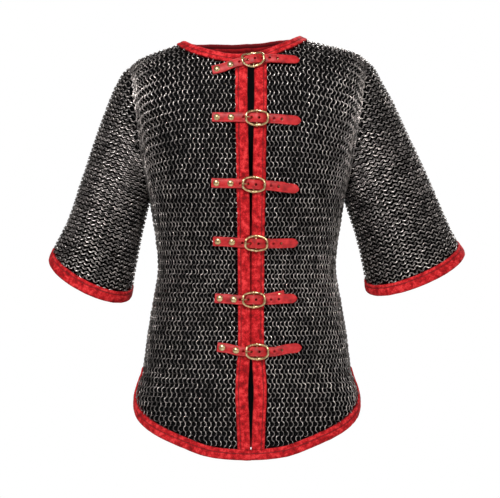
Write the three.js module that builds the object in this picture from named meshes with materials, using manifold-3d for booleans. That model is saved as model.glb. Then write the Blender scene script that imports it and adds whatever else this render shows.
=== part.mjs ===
import * as THREE from 'three';
import { mergeVertices } from 'three/addons/utils/BufferGeometryUtils.js';
import Module from 'manifold-3d';

// Short-sleeved mail coat, standing open-form as it is worn, fastened down the front.
// Millimetres, +Z up, front towards -Y. The origin is between the shoulders, where the wearer carries it.

// Driving dimensions
const wall = 3; // mail with its black backing cloth
const gap = 0.3; // clearance between neighbouring pieces
const leather = 1.9; // binding leather
const edgeBand = 20; // width of the front edge bindings
const edgeEase = 90; // how far from the opening the mail gives way where the slit widens
const hemBand = 17;
const cuffBand = 17;
const neckBand = 15;
const openingX = 7; // the front opening lies a little to the wearer's left
const armpitZ = -265;
const armpitX = 174;
const neck = { x: -9, halfWidth: 103, front: 90, back: 66, power: 2.3 };
const chest = { front: 122, back: 118, arm: 74, power: 2.2 }; // depths of the body above the armpits
const cuffTilt = 24; // the cuff's front edge hangs lower
const bodyRows = 12; // wall rows from hem band to armpit
const yokeRows = 9; // wall rows from armpit to shoulder
const sleeveRings = 9;
const fold = gap + leather;
const neckClear = 0.7; // the neck binding's clearance to the mail, over its faces
const edgeClear = 1.1; // and past its edges
const cuffClear = 0.5;

// Body sections below the arms
const torso = [
  { down: 265, halfWidth: 174, front: 122, back: 118, power: 2.6 },
  { down: 310, halfWidth: 167, front: 119, back: 111, power: 2.5 },
  { down: 350, halfWidth: 161, front: 113, back: 104, power: 2.4 },
  { down: 395, halfWidth: 158, front: 109, back: 101, power: 2.4 },
  { down: 440, halfWidth: 165, front: 111, back: 106, power: 2.4 },
  { down: 504, halfWidth: 176, front: 117, back: 116, power: 2.4 },
  { down: 575, halfWidth: 186, front: 123, back: 123, power: 2.4 },
  { down: 620, halfWidth: 200, front: 127, back: 126, power: 2.8 },
  { down: 730, halfWidth: 207, front: 132, back: 130, power: 2.8 },
];

// Hem of the tails, by angle in degrees from the side vent to the middle
const hem = [
  { angle: 0, down: 578 },
  { angle: 3, down: 607 },
  { angle: 7, down: 628 },
  { angle: 12, down: 645 },
  { angle: 23, down: 668 },
  { angle: 34, down: 687 },
  { angle: 48, down: 706 },
  { angle: 59, down: 718 },
  { angle: 72, down: 724 },
  { angle: 90, down: 726.5 },
];

// Width of the slit between the two front edge bindings
const slit = [
  { down: 0, width: 11 },
  { down: 90, width: 12 },
  { down: 185, width: 8 },
  { down: 272, width: 4.6 },
  { down: 325, width: 2.8 },
  { down: 430, width: 1 },
  { down: 525, width: 1 },
  { down: 565, width: 5.5 },
  { down: 607, width: 9.6 },
  { down: 665, width: 5 },
  { down: 723, width: 1.2 },
];

// Shoulder line from the middle to the armhole, and the outer and inner lines of each sleeve
const sides = {
  right: {
    sign: -1,
    armholeX: 205,
    neckX: 112,
    shoulder: [
      { out: 0, z: 45 },
      { out: 60, z: 37 },
      { out: 115, z: 12 },
      { out: 137, z: 3.6 },
      { out: 167, z: -7 },
      { out: 191, z: -18 },
      { out: 205, z: -29 },
    ],
    outer: [
      { out: 205, z: -29 },
      { out: 221, z: -42 },
      { out: 234, z: -64 },
      { out: 247, z: -94 },
      { out: 263, z: -137 },
      { out: 292, z: -223 },
      { out: 320, z: -305 },
      { out: 341, z: -347 },
      { out: 352, z: -373 },
    ],
    inner: [
      { out: 174, z: -265 },
      { out: 186, z: -312 },
      { out: 198, z: -370 },
      { out: 208, z: -427 },
      { out: 212, z: -446 },
    ],
  },
  left: {
    sign: 1,
    armholeX: 212,
    neckX: 94,
    shoulder: [
      { out: 0, z: 45 },
      { out: 55, z: 39 },
      { out: 106, z: 17 },
      { out: 137, z: 9 },
      { out: 167, z: 2 },
      { out: 196, z: -7 },
      { out: 212, z: -18 },
    ],
    outer: [
      { out: 212, z: -18 },
      { out: 228, z: -34 },
      { out: 241, z: -58 },
      { out: 261, z: -94 },
      { out: 281, z: -137 },
      { out: 321, z: -223 },
      { out: 356, z: -303 },
      { out: 373, z: -338 },
      { out: 388, z: -362 },
    ],
    inner: [
      { out: 174, z: -265 },
      { out: 186, z: -300 },
      { out: 200, z: -345 },
      { out: 213, z: -405 },
      { out: 217, z: -433 },
    ],
  },
};

// Strap closures: left end of the strap, middle of the buckle, tip of the strap, and the
// turn in degrees of the buckle's own leather against the strap. The top one also crosses the neck binding.
const strapWidth = 17;
const strapThick = 2.5;
const closures = [
  { name: 'closure_1', left: [-60.5, -45.5], buckle: [10.3, -29], tip: [91.5, -26.7], turn: 1, atNeck: true },
  { name: 'closure_2', left: [-60.5, -127.8], buckle: [17.6, -129.9], tip: [93.5, -134.6], turn: 1 },
  { name: 'closure_3', left: [-61.4, -242.5], buckle: [12, -245.6], tip: [90.2, -253.5], turn: 2 },
  { name: 'closure_4', left: [-58.8, -344], buckle: [15.9, -347.2], tip: [87.8, -346.8], turn: 0 },
  { name: 'closure_5', left: [-55.5, -444.4], buckle: [11.9, -447.5], tip: [86.5, -444.9], turn: 8 },
  { name: 'closure_6', left: [-51.3, -529.5], buckle: [17.6, -537.9], tip: [94.4, -530.6], turn: 0 },
];
const holeAt = [-23.5, -9.7, 3.8, 17, 29.5, 42.5]; // punched holes, measured from the buckle's middle
const holeRadius = 2.4;
const rivetFromEnd = [8.5, 33]; // both rivets, measured from the strap's left end
const rivetClear = 6.2; // flat stretch of strap on each side of a rivet
const climb = 8; // length over which a strap rises from the mail onto the binding
const onMail = 1.1; // lift of a strap's underside off the mail
const onBinding = 3.4;
const rivet = { radius: 5.8, height: 3, shank: 1.7, hole: 2.1 };
const buckle = { half: 18, rise: 7, tall: 12.4, wire: 2, bar: 1.4, barLift: 6.6 };
const chape = { thick: 1.6, half: 8, reach: 54, back: 12, slot: 3, lift: 3.3, rivet: 46 };
const prongRadius = 0.95;

// Colours
const steel = new THREE.MeshStandardMaterial({ color: 0x4a4846, roughness: 0.5, metalness: 0.8 });
const redSuede = new THREE.MeshStandardMaterial({ color: 0xb01018, roughness: 0.85, metalness: 0 });
const redLeather = new THREE.MeshStandardMaterial({ color: 0xc01a1e, roughness: 0.55, metalness: 0 });
const brass = new THREE.MeshStandardMaterial({ color: 0xc9a766, roughness: 0.35, metalness: 0.9 });

const wasm = await Module();
wasm.setup();
const part = new THREE.Group();
const vec = (x, y, z) => new THREE.Vector3(x, y, z);
const clamp = THREE.MathUtils.clamp;
const lerp = THREE.MathUtils.lerp;

// A table's values at one place: a cubic through its rows, straight beyond its ends
function tableAt(rows, key, at) {
  const last = rows.length - 1;
  let k = 0;
  while (k < last - 1 && at > rows[k + 1][key]) k += 1;
  const a = rows[k];
  const b = rows[k + 1];
  const span = b[key] - a[key];
  const t = clamp((at - a[key]) / span, 0, 1);
  const beyond = at - clamp(at, rows[0][key], rows[last][key]);
  const slope = (i, column) => {
    const low = rows[Math.max(i - 1, 0)];
    const high = rows[Math.min(i + 1, last)];
    return (high[column] - low[column]) / (high[key] - low[key]);
  };
  const result = {};
  for (const column of Object.keys(a)) {
    const m0 = slope(k, column) * span;
    const m1 = slope(k + 1, column) * span;
    const value = (2 * t ** 3 - 3 * t ** 2 + 1) * a[column] + (t ** 3 - 2 * t ** 2 + t) * m0
      + (3 * t ** 2 - 2 * t ** 3) * b[column] + (t ** 3 - t ** 2) * m1;
    const endSlope = beyond === 0 ? 0 : (beyond < 0 ? m0 : m1) / span;
    result[column] = value + beyond * endSlope;
  }
  return result;
}

// Gives each row of a line its distance along the line, from 0 to 1
function measured(rows) {
  let run = 0;
  const lengths = rows.map((row, i) => {
    if (i > 0) run += Math.hypot(row.out - rows[i - 1].out, row.z - rows[i - 1].z);
    return run;
  });
  return rows.map((row, i) => ({ ...row, run: lengths[i] / run }));
}

for (const side of Object.values(sides)) {
  side.outer = measured(side.outer);
  side.inner = measured(side.inner);
  side.flare = side.armholeX / armpitX - 1;
}

// Body below the arms: angle 0 at the side seam, a right angle at the middle. face is -1 in front, 1 behind.
function lowerPoint(side, face, angle, z) {
  const row = tableAt(torso, 'down', -z);
  const deep = face < 0 ? row.front : row.back;
  const across = Math.abs(Math.cos(angle)) / row.halfWidth;
  const along = Math.abs(Math.sin(angle)) / deep;
  const radius = (across ** row.power + along ** row.power) ** (-1 / row.power);
  return vec(side.sign * radius * Math.cos(angle), face * radius * Math.sin(angle), z);
}

// One sloping section of the yoke, from the shoulder line down to the armpit's level
function yokeSection(side, face, angle) {
  const bottom = lowerPoint(side, face, angle, armpitZ);
  const reach = clamp(Math.abs(bottom.x) / armpitX, 0, 1);
  const middle = face < 0 ? chest.front : chest.back;
  const deep = chest.arm + (middle - chest.arm) * (1 - reach ** 3);
  const out = Math.abs(bottom.x) * (1 + side.flare * reach ** 2);
  const top = vec(Math.sign(bottom.x) * out, 0, tableAt(side.shoulder, 'out', out).z);
  const crown = 0.3 + 0.15 * reach ** 2;
  const ratio = Math.min(0.9995, Math.abs(bottom.y) / deep);
  const lowAxis = crown / (1 - ratio ** chest.power) ** (1 / chest.power);
  const at = (turn) => {
    const c = Math.cos(turn);
    const height = crown + c * (c > 0 ? 1 - crown : lowAxis);
    const y = face * deep * Math.max(0, 1 - Math.abs(c) ** chest.power) ** (1 / chest.power);
    return vec(lerp(bottom.x, top.x, height), y, lerp(bottom.z, top.z, height));
  };
  return { at, end: Math.acos(-crown / lowAxis), bottom };
}

// Evenly spaced places along a finely sampled line, from its start to its end
function resample(line, fractions) {
  const runs = [0];
  for (let i = 1; i < line.length; i += 1) runs.push(runs[i - 1] + line[i].distanceTo(line[i - 1]));
  const total = runs[runs.length - 1];
  const places = typeof fractions === 'function' ? fractions(total) : fractions;
  return places.map((fraction) => {
    const want = clamp(fraction, 0, 1) * total;
    let k = 1;
    while (k < runs.length - 1 && runs[k] < want) k += 1;
    return line[k - 1].clone().lerp(line[k], (want - runs[k - 1]) / (runs[k] - runs[k - 1]));
  });
}

function neckDepth(face, x) {
  const across = Math.abs(x - neck.x) / neck.halfWidth;
  if (across >= 1) return 0;
  return (face < 0 ? neck.front : neck.back) * (1 - across ** neck.power) ** (1 / neck.power);
}

// Yoke line from the neck or shoulder edge down to the armpit's level
function yokeLine(side, face, angle) {
  const section = yokeSection(side, face, angle);
  const line = [];
  const steps = 90;
  for (let i = 0; i <= steps; i += 1) {
    const here = section.at((section.end * i) / steps);
    const before = line.length === 0 && i > 0 ? section.at((section.end * (i - 1)) / steps) : null;
    const over = Math.abs(here.y) - neckDepth(face, here.x);
    if (over < 0) continue;
    if (before) {
      const under = Math.abs(before.y) - neckDepth(face, before.x);
      if (under < 0) line.push(before.lerp(here, under / (under - over)));
    }
    line.push(here);
  }
  return line;
}

// Fractions from the bottom up: even rows, with the last one as wide as the neck binding
const yokeFractions = (total) => {
  const last = 1 - (neckBand + gap) / total;
  return Array.from({ length: yokeRows + 1 }, (_, j) => (j === yokeRows ? 0 : 1 - (last * j) / (yokeRows - 1)));
};

// The body keeps the yoke's slope for a little way below the armpit's level
function bodyPoint(side, face, angle, z) {
  const point = lowerPoint(side, face, angle, z);
  const section = yokeSection(side, face, angle);
  const above = section.at(section.end - 0.02);
  const rise = Math.max(above.z - armpitZ, 0.5);
  const fade = (z - armpitZ) * Math.exp((z - armpitZ) / 28);
  point.y += fade * clamp((above.y - section.bottom.y) / rise, -0.9, 0.9);
  return point;
}

function edgeX(z) {
  return tableAt(slit, 'down', Math.max(0, -z)).width / 2 + fold;
}

// Angle of a front edge, which crosses the middle on the wearer's right
function frontEdgeAngle(side, z) {
  const target = openingX + side.sign * edgeX(z);
  const deep = -lowerPoint(side, -1, Math.PI / 2, z).y;
  return Math.PI / 2 - Math.atan2(side.sign * target, deep);
}

// Angle of the column that meets the neck's corner on the shoulder
function neckAngle(side, face) {
  let low = 0.3;
  let high = 1.4;
  for (let i = 0; i < 30; i += 1) {
    const mid = (low + high) / 2;
    const bottom = lowerPoint(side, face, mid, armpitZ);
    const reach = Math.abs(bottom.x) / armpitX;
    if (Math.abs(bottom.x) * (1 + side.flare * reach ** 2) > side.neckX) low = mid;
    else high = mid;
  }
  return low;
}

// Angles of a panel's columns between the neck's corner and the side seam
const sideColumns = (start) => [0.84, 0.66, 0.47, 0.28, 0.12, 0].map((share) => start * share);

function hemAt(angle) {
  const degrees = THREE.MathUtils.radToDeg(Math.min(angle, Math.PI - angle));
  const slopeStep = 0.5;
  const down = tableAt(hem, 'angle', Math.min(degrees, 90)).down - fold;
  const next = tableAt(hem, 'angle', Math.min(degrees + slopeStep, 90)).down - fold;
  return { z: -down, slope: (next - down) / THREE.MathUtils.degToRad(slopeStep) };
}

// One column of a panel: hem, hem band's top, body rows, yoke rows
function panelColumn(side, face, angleAt, seam) {
  const hemAngle = angleAt(-700);
  const low = hemAt(hemAngle);
  const radius = lowerPoint(side, face, hemAngle, low.z).setZ(0).length();
  const lean = seam ? 0 : Math.atan(low.slope / radius);
  const turn = (Math.sign(Math.PI / 2 - hemAngle) * hemBand * Math.sin(lean)) / radius;
  const column = [bodyPoint(side, face, angleAt(low.z), low.z)];
  const bandTop = low.z + hemBand * (seam ? 1.3 : Math.cos(lean));
  column.push(bodyPoint(side, face, angleAt(bandTop) + turn, bandTop));
  for (let j = 1; j < bodyRows; j += 1) {
    const z = lerp(bandTop, armpitZ, j / bodyRows);
    const share = Math.max(0, 1 - (2.5 * j) / bodyRows);
    column.push(bodyPoint(side, face, angleAt(z) + turn * share, z));
  }
  column.push(...resample(yokeLine(side, face, angleAt(armpitZ)), yokeFractions));
  if (seam) {
    column.forEach((point, j) => {
      if (j <= bodyRows + 1) point.y = 0;
    });
  }
  return column;
}

// Above the armpits the slit widens again: the front edge stands back, and what is beside it less and less
function standBack(side, point) {
  const share = clamp(1 - Math.abs(point.x - openingX) / edgeEase, 0, 1);
  point.x += side.sign * (edgeX(point.z) - edgeX(armpitZ)) * share;
}

function frontPanel(side) {
  const start = neckAngle(side, -1);
  const edge = (z) => frontEdgeAngle(side, z);
  const band = (z) => edge(z) - edgeBand / Math.abs(lowerPoint(side, -1, Math.PI / 2, z).y);
  const columns = [panelColumn(side, -1, edge, false), panelColumn(side, -1, band, false)];
  for (const share of [0.75, 0.5, 0.25, 0]) {
    columns.push(panelColumn(side, -1, (z) => lerp(start, band(z), share), false));
  }
  for (const angle of sideColumns(start)) columns.push(panelColumn(side, -1, () => angle, angle === 0));
  columns.forEach((column) => column.slice(bodyRows + 2).forEach((point) => standBack(side, point)));
  return columns;
}

function backPanel() {
  const columns = [];
  const start = { right: neckAngle(sides.right, 1), left: neckAngle(sides.left, 1) };
  for (const angle of sideColumns(start.right).reverse()) {
    columns.push(panelColumn(sides.right, 1, () => angle, angle === 0));
  }
  const across = 8;
  for (let i = 0; i <= across; i += 1) {
    const angle = lerp(start.right, Math.PI - start.left, i / across);
    const nearRight = angle <= Math.PI / 2;
    const side = nearRight ? sides.right : sides.left;
    columns.push(panelColumn(side, 1, () => (nearRight ? angle : Math.PI - angle), false));
  }
  for (const angle of sideColumns(start.left)) {
    columns.push(panelColumn(sides.left, 1, () => angle, angle === 0));
  }
  return columns;
}

// One ring of a sleeve, from its top down the front and up the back
const innerShare = (v) => 0.1 * v + 0.9 * v ** 2.2;
function sleeveLine(side, face, v) {
  const topRow = tableAt(side.outer, 'run', v);
  const lowRow = tableAt(side.inner, 'run', innerShare(v));
  const top = vec(side.sign * topRow.out, 0, topRow.z);
  const low = vec(side.sign * lowRow.out, 0, lowRow.z);
  const crown = lerp(0.45, 0.5, v);
  const power = lerp(chest.power, 2.05, v);
  const deep = chest.arm - 8 * v * (1 - v) + 1.5 * v;
  const along = low.clone().sub(top).setY(0).normalize();
  const hang = vec(side.sign * Math.abs(along.z), 0, -Math.abs(along.x));
  const line = [];
  const steps = 90;
  for (let i = 0; i <= steps; i += 1) {
    const c = Math.cos((Math.PI * i) / steps);
    const height = crown + c * (c > 0 ? 1 - crown : crown);
    const bulge = Math.max(0, 1 - Math.abs(c) ** power) ** (1 / power);
    const point = low.clone().lerp(top, height);
    point.y = face * deep * bulge;
    line.push(point.addScaledVector(hang, -face * cuffTilt * bulge * v * v));
  }
  return line;
}

function sleeveGrid(side) {
  const outerLength = 360;
  const bandStart = 1 - cuffBand / outerLength;
  const stops = Array.from({ length: sleeveRings }, (_, i) => (bandStart * i) / (sleeveRings - 1));
  stops.push(1);
  return stops.map((v) => {
    const front = resample(sleeveLine(side, -1, v), yokeFractions).reverse();
    const back = resample(sleeveLine(side, 1, v), yokeFractions);
    return [...front, ...back.slice(1, -1)];
  });
}

// Surface normals of a grid of points, pointing away from the given inside points
function gridNormals(grid, closed, insideOf) {
  const rows = grid[0].length;
  return grid.map((column, i) => column.map((point, j) => {
    const left = grid[Math.max(i - 1, 0)][j];
    const right = grid[Math.min(i + 1, grid.length - 1)][j];
    const low = column[closed ? (j + rows - 1) % rows : Math.max(j - 1, 0)];
    const high = column[closed ? (j + 1) % rows : Math.min(j + 1, rows - 1)];
    const normal = right.clone().sub(left).cross(high.clone().sub(low)).normalize();
    const outward = point.clone().sub(insideOf(point, i));
    return normal.dot(outward) < 0 ? normal.negate() : normal;
  }));
}

const offset = (grid, normals, distance) => grid.map((column, i) => column.map(
  (point, j) => point.clone().addScaledVector(normals[i][j], distance)));

// Triangles of a closed body, turned so that its faces point outwards
function closedBody(points, faces) {
  let volume = 0;
  for (const [a, b, c] of faces) volume += points[a].dot(points[b].clone().cross(points[c]));
  const ordered = volume < 0 ? faces.map(([a, b, c]) => [a, c, b]) : faces;
  const geometry = new THREE.BufferGeometry();
  geometry.setAttribute('position', new THREE.Float32BufferAttribute(points.flatMap((p) => [p.x, p.y, p.z]), 3));
  geometry.setIndex(ordered.flat());
  return geometry;
}

// A wall between two grids of points. closed joins its last row to its first.
function wallBody(outer, inner, closed) {
  const columns = outer.length;
  const rows = outer[0].length;
  const points = [...outer.flat(), ...inner.flat()];
  const index = (layer, i, j) => layer * columns * rows + i * rows + (j % rows);
  const faces = [];
  const quad = (a, b, c, d) => faces.push([a, b, c], [a, c, d]);
  for (let i = 0; i < columns - 1; i += 1) {
    for (let j = 0; j < rows - (closed ? 0 : 1); j += 1) {
      quad(index(0, i, j), index(0, i + 1, j), index(0, i + 1, j + 1), index(0, i, j + 1));
      quad(index(1, i, j), index(1, i, j + 1), index(1, i + 1, j + 1), index(1, i + 1, j));
    }
  }
  for (const [i, flip] of [[0, false], [columns - 1, true]]) {
    for (let j = 0; j < rows - (closed ? 0 : 1); j += 1) {
      const loop = [index(0, i, j), index(0, i, j + 1), index(1, i, j + 1), index(1, i, j)];
      quad(...(flip ? loop.reverse() : loop));
    }
  }
  if (!closed) {
    for (const [j, flip] of [[0, false], [rows - 1, true]]) {
      for (let i = 0; i < columns - 1; i += 1) {
        const loop = [index(0, i, j), index(0, i + 1, j), index(1, i + 1, j), index(1, i, j)];
        quad(...(flip ? loop : loop.reverse()));
      }
    }
  }
  return closedBody(points, faces);
}

// A folded strip: every station holds its outer skin and its inner skin as two lists of points
function stripBody(stations, closed) {
  const skin = stations[0][0].length;
  const size = skin * 2;
  const points = stations.flatMap(([outer, inner]) => [...outer, ...inner]);
  const around = (k) => (k < skin ? k : size - 1 - (k - skin));
  const faces = [];
  const spans = closed ? stations.length : stations.length - 1;
  for (let i = 0; i < spans; i += 1) {
    const a = i * size;
    const b = ((i + 1) % stations.length) * size;
    for (let k = 0; k < size; k += 1) {
      const p = around(k);
      const q = around((k + 1) % size);
      // Each cell is split along the same diagonal as the wall cell that it covers
      if (k % skin === 0) faces.push([a + p, b + p, a + q], [b + p, b + q, a + q]);
      else faces.push([a + p, b + p, b + q], [a + p, b + q, a + q]);
    }
  }
  if (!closed) {
    const lastStart = (stations.length - 1) * size;
    for (let k = 0; k < skin - 1; k += 1) {
      faces.push([k, k + 1, skin + k + 1], [k, skin + k + 1, skin + k]);
      const [a, b] = [lastStart + k, lastStart + k + 1];
      faces.push([a, b + skin, b], [a, a + skin, b + skin]);
    }
  }
  return closedBody(points, faces);
}

function toSolid(geometry) {
  const bare = geometry.clone();
  bare.deleteAttribute('normal');
  bare.deleteAttribute('uv');
  const merged = mergeVertices(bare, 1e-4);
  return new wasm.Manifold(new wasm.Mesh({
    numProp: 3,
    vertProperties: new Float32Array(merged.attributes.position.array),
    triVerts: new Uint32Array(merged.index.array),
  }));
}

function toGeometry(solid) {
  const mesh = solid.getMesh();
  const geometry = new THREE.BufferGeometry();
  geometry.setAttribute('position', new THREE.BufferAttribute(new Float32Array(mesh.vertProperties), 3));
  geometry.setIndex(Array.from(mesh.triVerts));
  return geometry;
}

function addMesh(name, geometry, material, frame) {
  const mesh = new THREE.Mesh(geometry, material);
  mesh.name = name;
  if (frame) {
    mesh.position.copy(frame.origin);
    mesh.quaternion.setFromRotationMatrix(new THREE.Matrix4().makeBasis(frame.along, frame.across, frame.out));
  }
  part.add(mesh);
  return mesh;
}

// A binding folded over one edge of a wall, made from the wall's own points moved out
function edgeBinding(cells, ends, clear = gap) {
  const stations = cells.map(({ edge, lap, innerEdge, innerLap, normal, lapNormal }) => {
    const away = edge.clone().sub(lap).normalize();
    const skinAt = (lift) => [
      lap.clone().addScaledVector(lapNormal, lift),
      edge.clone().addScaledVector(normal, lift).addScaledVector(away, lift),
      innerEdge.clone().addScaledVector(normal, -lift).addScaledVector(away, lift),
      innerLap.clone().addScaledVector(lapNormal, -lift),
    ];
    return [skinAt(fold), skinAt(clear)];
  });
  if (ends) {
    const shift = (from, to, distance) => from.forEach((skin, s) => skin.forEach((point, k) => {
      point.addScaledVector(point.clone().sub(to[s][k]).normalize(), distance);
    }));
    shift(stations[0], stations[1], ends[0]);
    shift(stations[stations.length - 1], stations[stations.length - 2], ends[1]);
  }
  return stations;
}

// Mail walls
const panels = {};
const bodyAxis = (point) => vec(point.x * 0.45, 0, Math.min(point.z, -120));
const seamShift = gap / 2;

function finishPanel(name, grid, face) {
  const normals = gridNormals(grid, false, bodyAxis);
  const lastBody = bodyRows + 1;
  const top = grid[0].length - 1;
  grid.forEach((column, i) => column.forEach((point, j) => {
    const normal = normals[i][j];
    const seamColumn = i === grid.length - 1 || (face > 0 && i === 0);
    const onShoulder = j === top && Math.abs(point.y) < 0.5;
    if (seamColumn && j <= lastBody) normal.set(Math.sign(point.x), 0, normal.z * 0.3).normalize();
    if (onShoulder) normal.setY(0).normalize();
    if (seamColumn && j > lastBody) {
      // The armhole edge is cut square in the armhole's own plane, as the sleeve's first ring is
      const side = point.x < 0 ? sides.right : sides.left;
      normal.copy(armholeNormal(side, column, j - lastBody));
    }
    if (seamColumn && j === lastBody) normal.set(Math.sign(point.x) * 0.8, 0, -0.6);
  }));
  const sided = (source) => source.map((column, i) => column.map((point, j) => {
    const moved = point.clone();
    const seamColumn = i === source.length - 1 || (face > 0 && i === 0);
    if (seamColumn && j >= lastBody) moved.x -= Math.sign(point.x) * seamShift;
    if ((seamColumn && j <= lastBody) || (j === top && Math.abs(grid[i][j].y) < 0.5)) moved.y = face * seamShift;
    return moved;
  }));
  const outer = sided(grid);
  const inner = sided(offset(grid, normals, -wall));
  panels[name] = { outer, inner, normals };
  addMesh(name, wallBody(outer, inner, false), steel);
}

// Outward direction within the armhole's plane, for one point of its edge
function armholeNormal(side, column, k) {
  const start = bodyRows + 1;
  const here = column[start + k];
  const before = column[start + k - 1];
  const after = column[Math.min(start + k + 1, column.length - 1)];
  const bottom = column[start];
  const top = column[column.length - 1];
  const planeNormal = top.clone().sub(bottom).cross(vec(0, 1, 0)).normalize();
  const tangent = k === yokeRows ? vec(0, 1, 0) : after.clone().sub(before).normalize();
  const normal = tangent.cross(planeNormal).normalize();
  const middle = bottom.clone().add(top).multiplyScalar(0.5);
  return normal.dot(here.clone().sub(middle)) < 0 ? normal.negate() : normal;
}

finishPanel('mail_front_right', frontPanel(sides.right), -1);
finishPanel('mail_front_left', frontPanel(sides.left), -1);
finishPanel('mail_back', backPanel(), 1);

// Sleeves, each a tube whose first ring lies against the armhole
function sleeve(name, side, frontColumn) {
  const grid = sleeveGrid(side);
  const middles = grid.map((ring) => ring.reduce((sum, point) => sum.add(point), vec(0, 0, 0))
    .multiplyScalar(1 / ring.length));
  const normals = gridNormals(grid, true, (point, i) => middles[i]);
  for (let j = 0; j <= yokeRows; j += 1) {
    const edge = j === 0 ? vec(0, 0, -1) : armholeNormal(side, frontColumn, j);
    normals[0][j].copy(edge);
    if (j > 0 && j < yokeRows) normals[0][yokeRows * 2 - j].copy(edge.clone().setY(-edge.y));
  }
  const clear = (source) => source.map((ring, i) => ring.map((point) => {
    const moved = point.clone();
    if (i === 0) moved.x += side.sign * seamShift;
    return moved;
  }));
  const outer = clear(grid);
  const inner = clear(offset(grid, normals, -wall));
  addMesh(name, wallBody(outer, inner, true), steel);
  const last = grid.length - 1;
  const cells = grid[last].map((_, k) => grid[last].length - 1 - k).map((j) => ({
    edge: outer[last][j],
    lap: outer[last - 1][j],
    innerEdge: inner[last][j],
    innerLap: inner[last - 1][j],
    normal: normals[last][j],
    lapNormal: normals[last - 1][j],
  }));
  const band = stripBody(edgeBinding(cells, null, cuffClear), true);
  addMesh(name.replace('mail_sleeve', 'cuff_binding'), band, redSuede);
}
sleeve('mail_sleeve_right', sides.right, frontPanel(sides.right).at(-1));
sleeve('mail_sleeve_left', sides.left, frontPanel(sides.left).at(-1));

// Hem bindings lie over each panel's lowest row, front edge bindings over its first column
function panelCells(panel, places) {
  const { outer, inner, normals } = panel;
  return places.map(([i, j, lapI, lapJ]) => ({
    edge: outer[i][j],
    lap: outer[lapI][lapJ],
    innerEdge: inner[i][j],
    innerLap: inner[lapI][lapJ],
    normal: normals[i][j],
    lapNormal: normals[lapI][lapJ],
  }));
}

for (const name of ['right', 'left']) {
  const panel = panels[`mail_front_${name}`];
  const columns = panel.outer.map((_, i) => [i, 0, i, 1]);
  const hemStrip = stripBody(edgeBinding(panelCells(panel, columns), [fold, 0]), false);
  addMesh(`hem_binding_front_${name}`, hemStrip, redSuede);
  const top = panel.outer[0].length - 2;
  const rows = Array.from({ length: top }, (_, j) => [0, j + 1, 1, j + 1]);
  const edgeStrip = stripBody(edgeBinding(panelCells(panel, rows), [-gap, 0]), false);
  addMesh(`edge_binding_${name}`, edgeStrip, redSuede);
}
const backColumns = panels.mail_back.outer.map((_, i) => [i, 0, i, 1]);
const backHem = stripBody(edgeBinding(panelCells(panels.mail_back, backColumns), [0, 0]), false);
addMesh('hem_binding_back', backHem, redSuede);

// Height of the coat's upper surface over a place in plan
function yokeAt(x, y) {
  const side = x < 0 ? sides.right : sides.left;
  const face = y < 0 ? -1 : 1;
  const middle = face < 0 ? chest.front : chest.back;
  let lowX = Math.abs(x);
  let height = 1;
  let topZ = 0;
  for (let k = 0; k < 6; k += 1) {
    const reach = clamp(lowX / armpitX, 0, 1);
    const deep = chest.arm + (middle - chest.arm) * (1 - reach ** 3);
    const crown = 0.3 + 0.15 * reach ** 2;
    const c = (1 - clamp(Math.abs(y) / deep, 0, 0.999) ** chest.power) ** (1 / chest.power);
    height = crown + (1 - crown) * c;
    topZ = tableAt(side.shoulder, 'out', lowX * (1 + side.flare * reach ** 2)).z;
    lowX = Math.abs(x) / (1 + side.flare * reach ** 2 * height);
  }
  return vec(x, y, lerp(armpitZ, topZ, height));
}

// Neck binding: a strip round the neck, thick enough to hold the mail's edge, with the mail cut out of it
function neckStrip() {
  const path = [];
  const frontSteps = 6;
  const backSteps = 11;
  const atNeck = (face, share) => {
    const turn = Math.PI * share;
    const x = neck.x - neck.halfWidth * Math.cos(turn);
    return vec(x, face * neckDepth(face, x), 0);
  };
  const startRight = openingX - edgeX(0);
  const startLeft = openingX + edgeX(0);
  const shareOf = (x) => Math.acos(clamp((neck.x - x) / neck.halfWidth, -1, 1)) / Math.PI;
  for (let i = 0; i <= frontSteps; i += 1) path.push(atNeck(-1, lerp(shareOf(startRight), 0, i / frontSteps)));
  for (let i = 1; i < backSteps; i += 1) path.push(atNeck(1, i / backSteps));
  for (let i = 0; i <= frontSteps; i += 1) path.push(atNeck(-1, lerp(1, shareOf(startLeft), i / frontSteps)));
  const top = leather + gap;
  const under = -(wall + gap + leather + 1.2);
  return path.map((plan, i) => {
    const edge = yokeAt(plan.x, plan.y);
    const before = path[Math.max(i - 1, 0)];
    const after = path[Math.min(i + 1, path.length - 1)];
    const tangent = after.clone().sub(before).normalize();
    let away = vec(-tangent.y, tangent.x, 0);
    if (away.dot(vec(neck.x, -10, 0).sub(plan)) > 0) away = away.negate();
    if (i === 0 || i === path.length - 1) away = vec(0, -1, 0);
    const step = 2;
    const slope = (yokeAt(plan.x + away.x * step, plan.y + away.y * step).z - edge.z) / step;
    const flat = 1 / Math.hypot(1, slope);
    const lapX = plan.x + away.x * neckBand * flat;
    const lapY = plan.y + away.y * neckBand * flat;
    const lap = yokeAt(lapX, lapY);
    const half = yokeAt((plan.x + lapX) / 2, (plan.y + lapY) / 2);
    const alongBand = lap.clone().sub(edge).normalize();
    const normal = tangent.clone().cross(alongBand).normalize();
    if (normal.z < 0) normal.negate();
    const beyond = edge.clone().addScaledVector(alongBand, -fold);
    const end = i === 0 ? -fold : (i === path.length - 1 ? fold : 0);
    const skin = (lift) => [lap, half, beyond].map((point) => point.clone()
      .addScaledVector(normal, lift).add(vec(end, 0, 0)));
    return [skin(top), skin(under)];
  });
}

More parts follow.
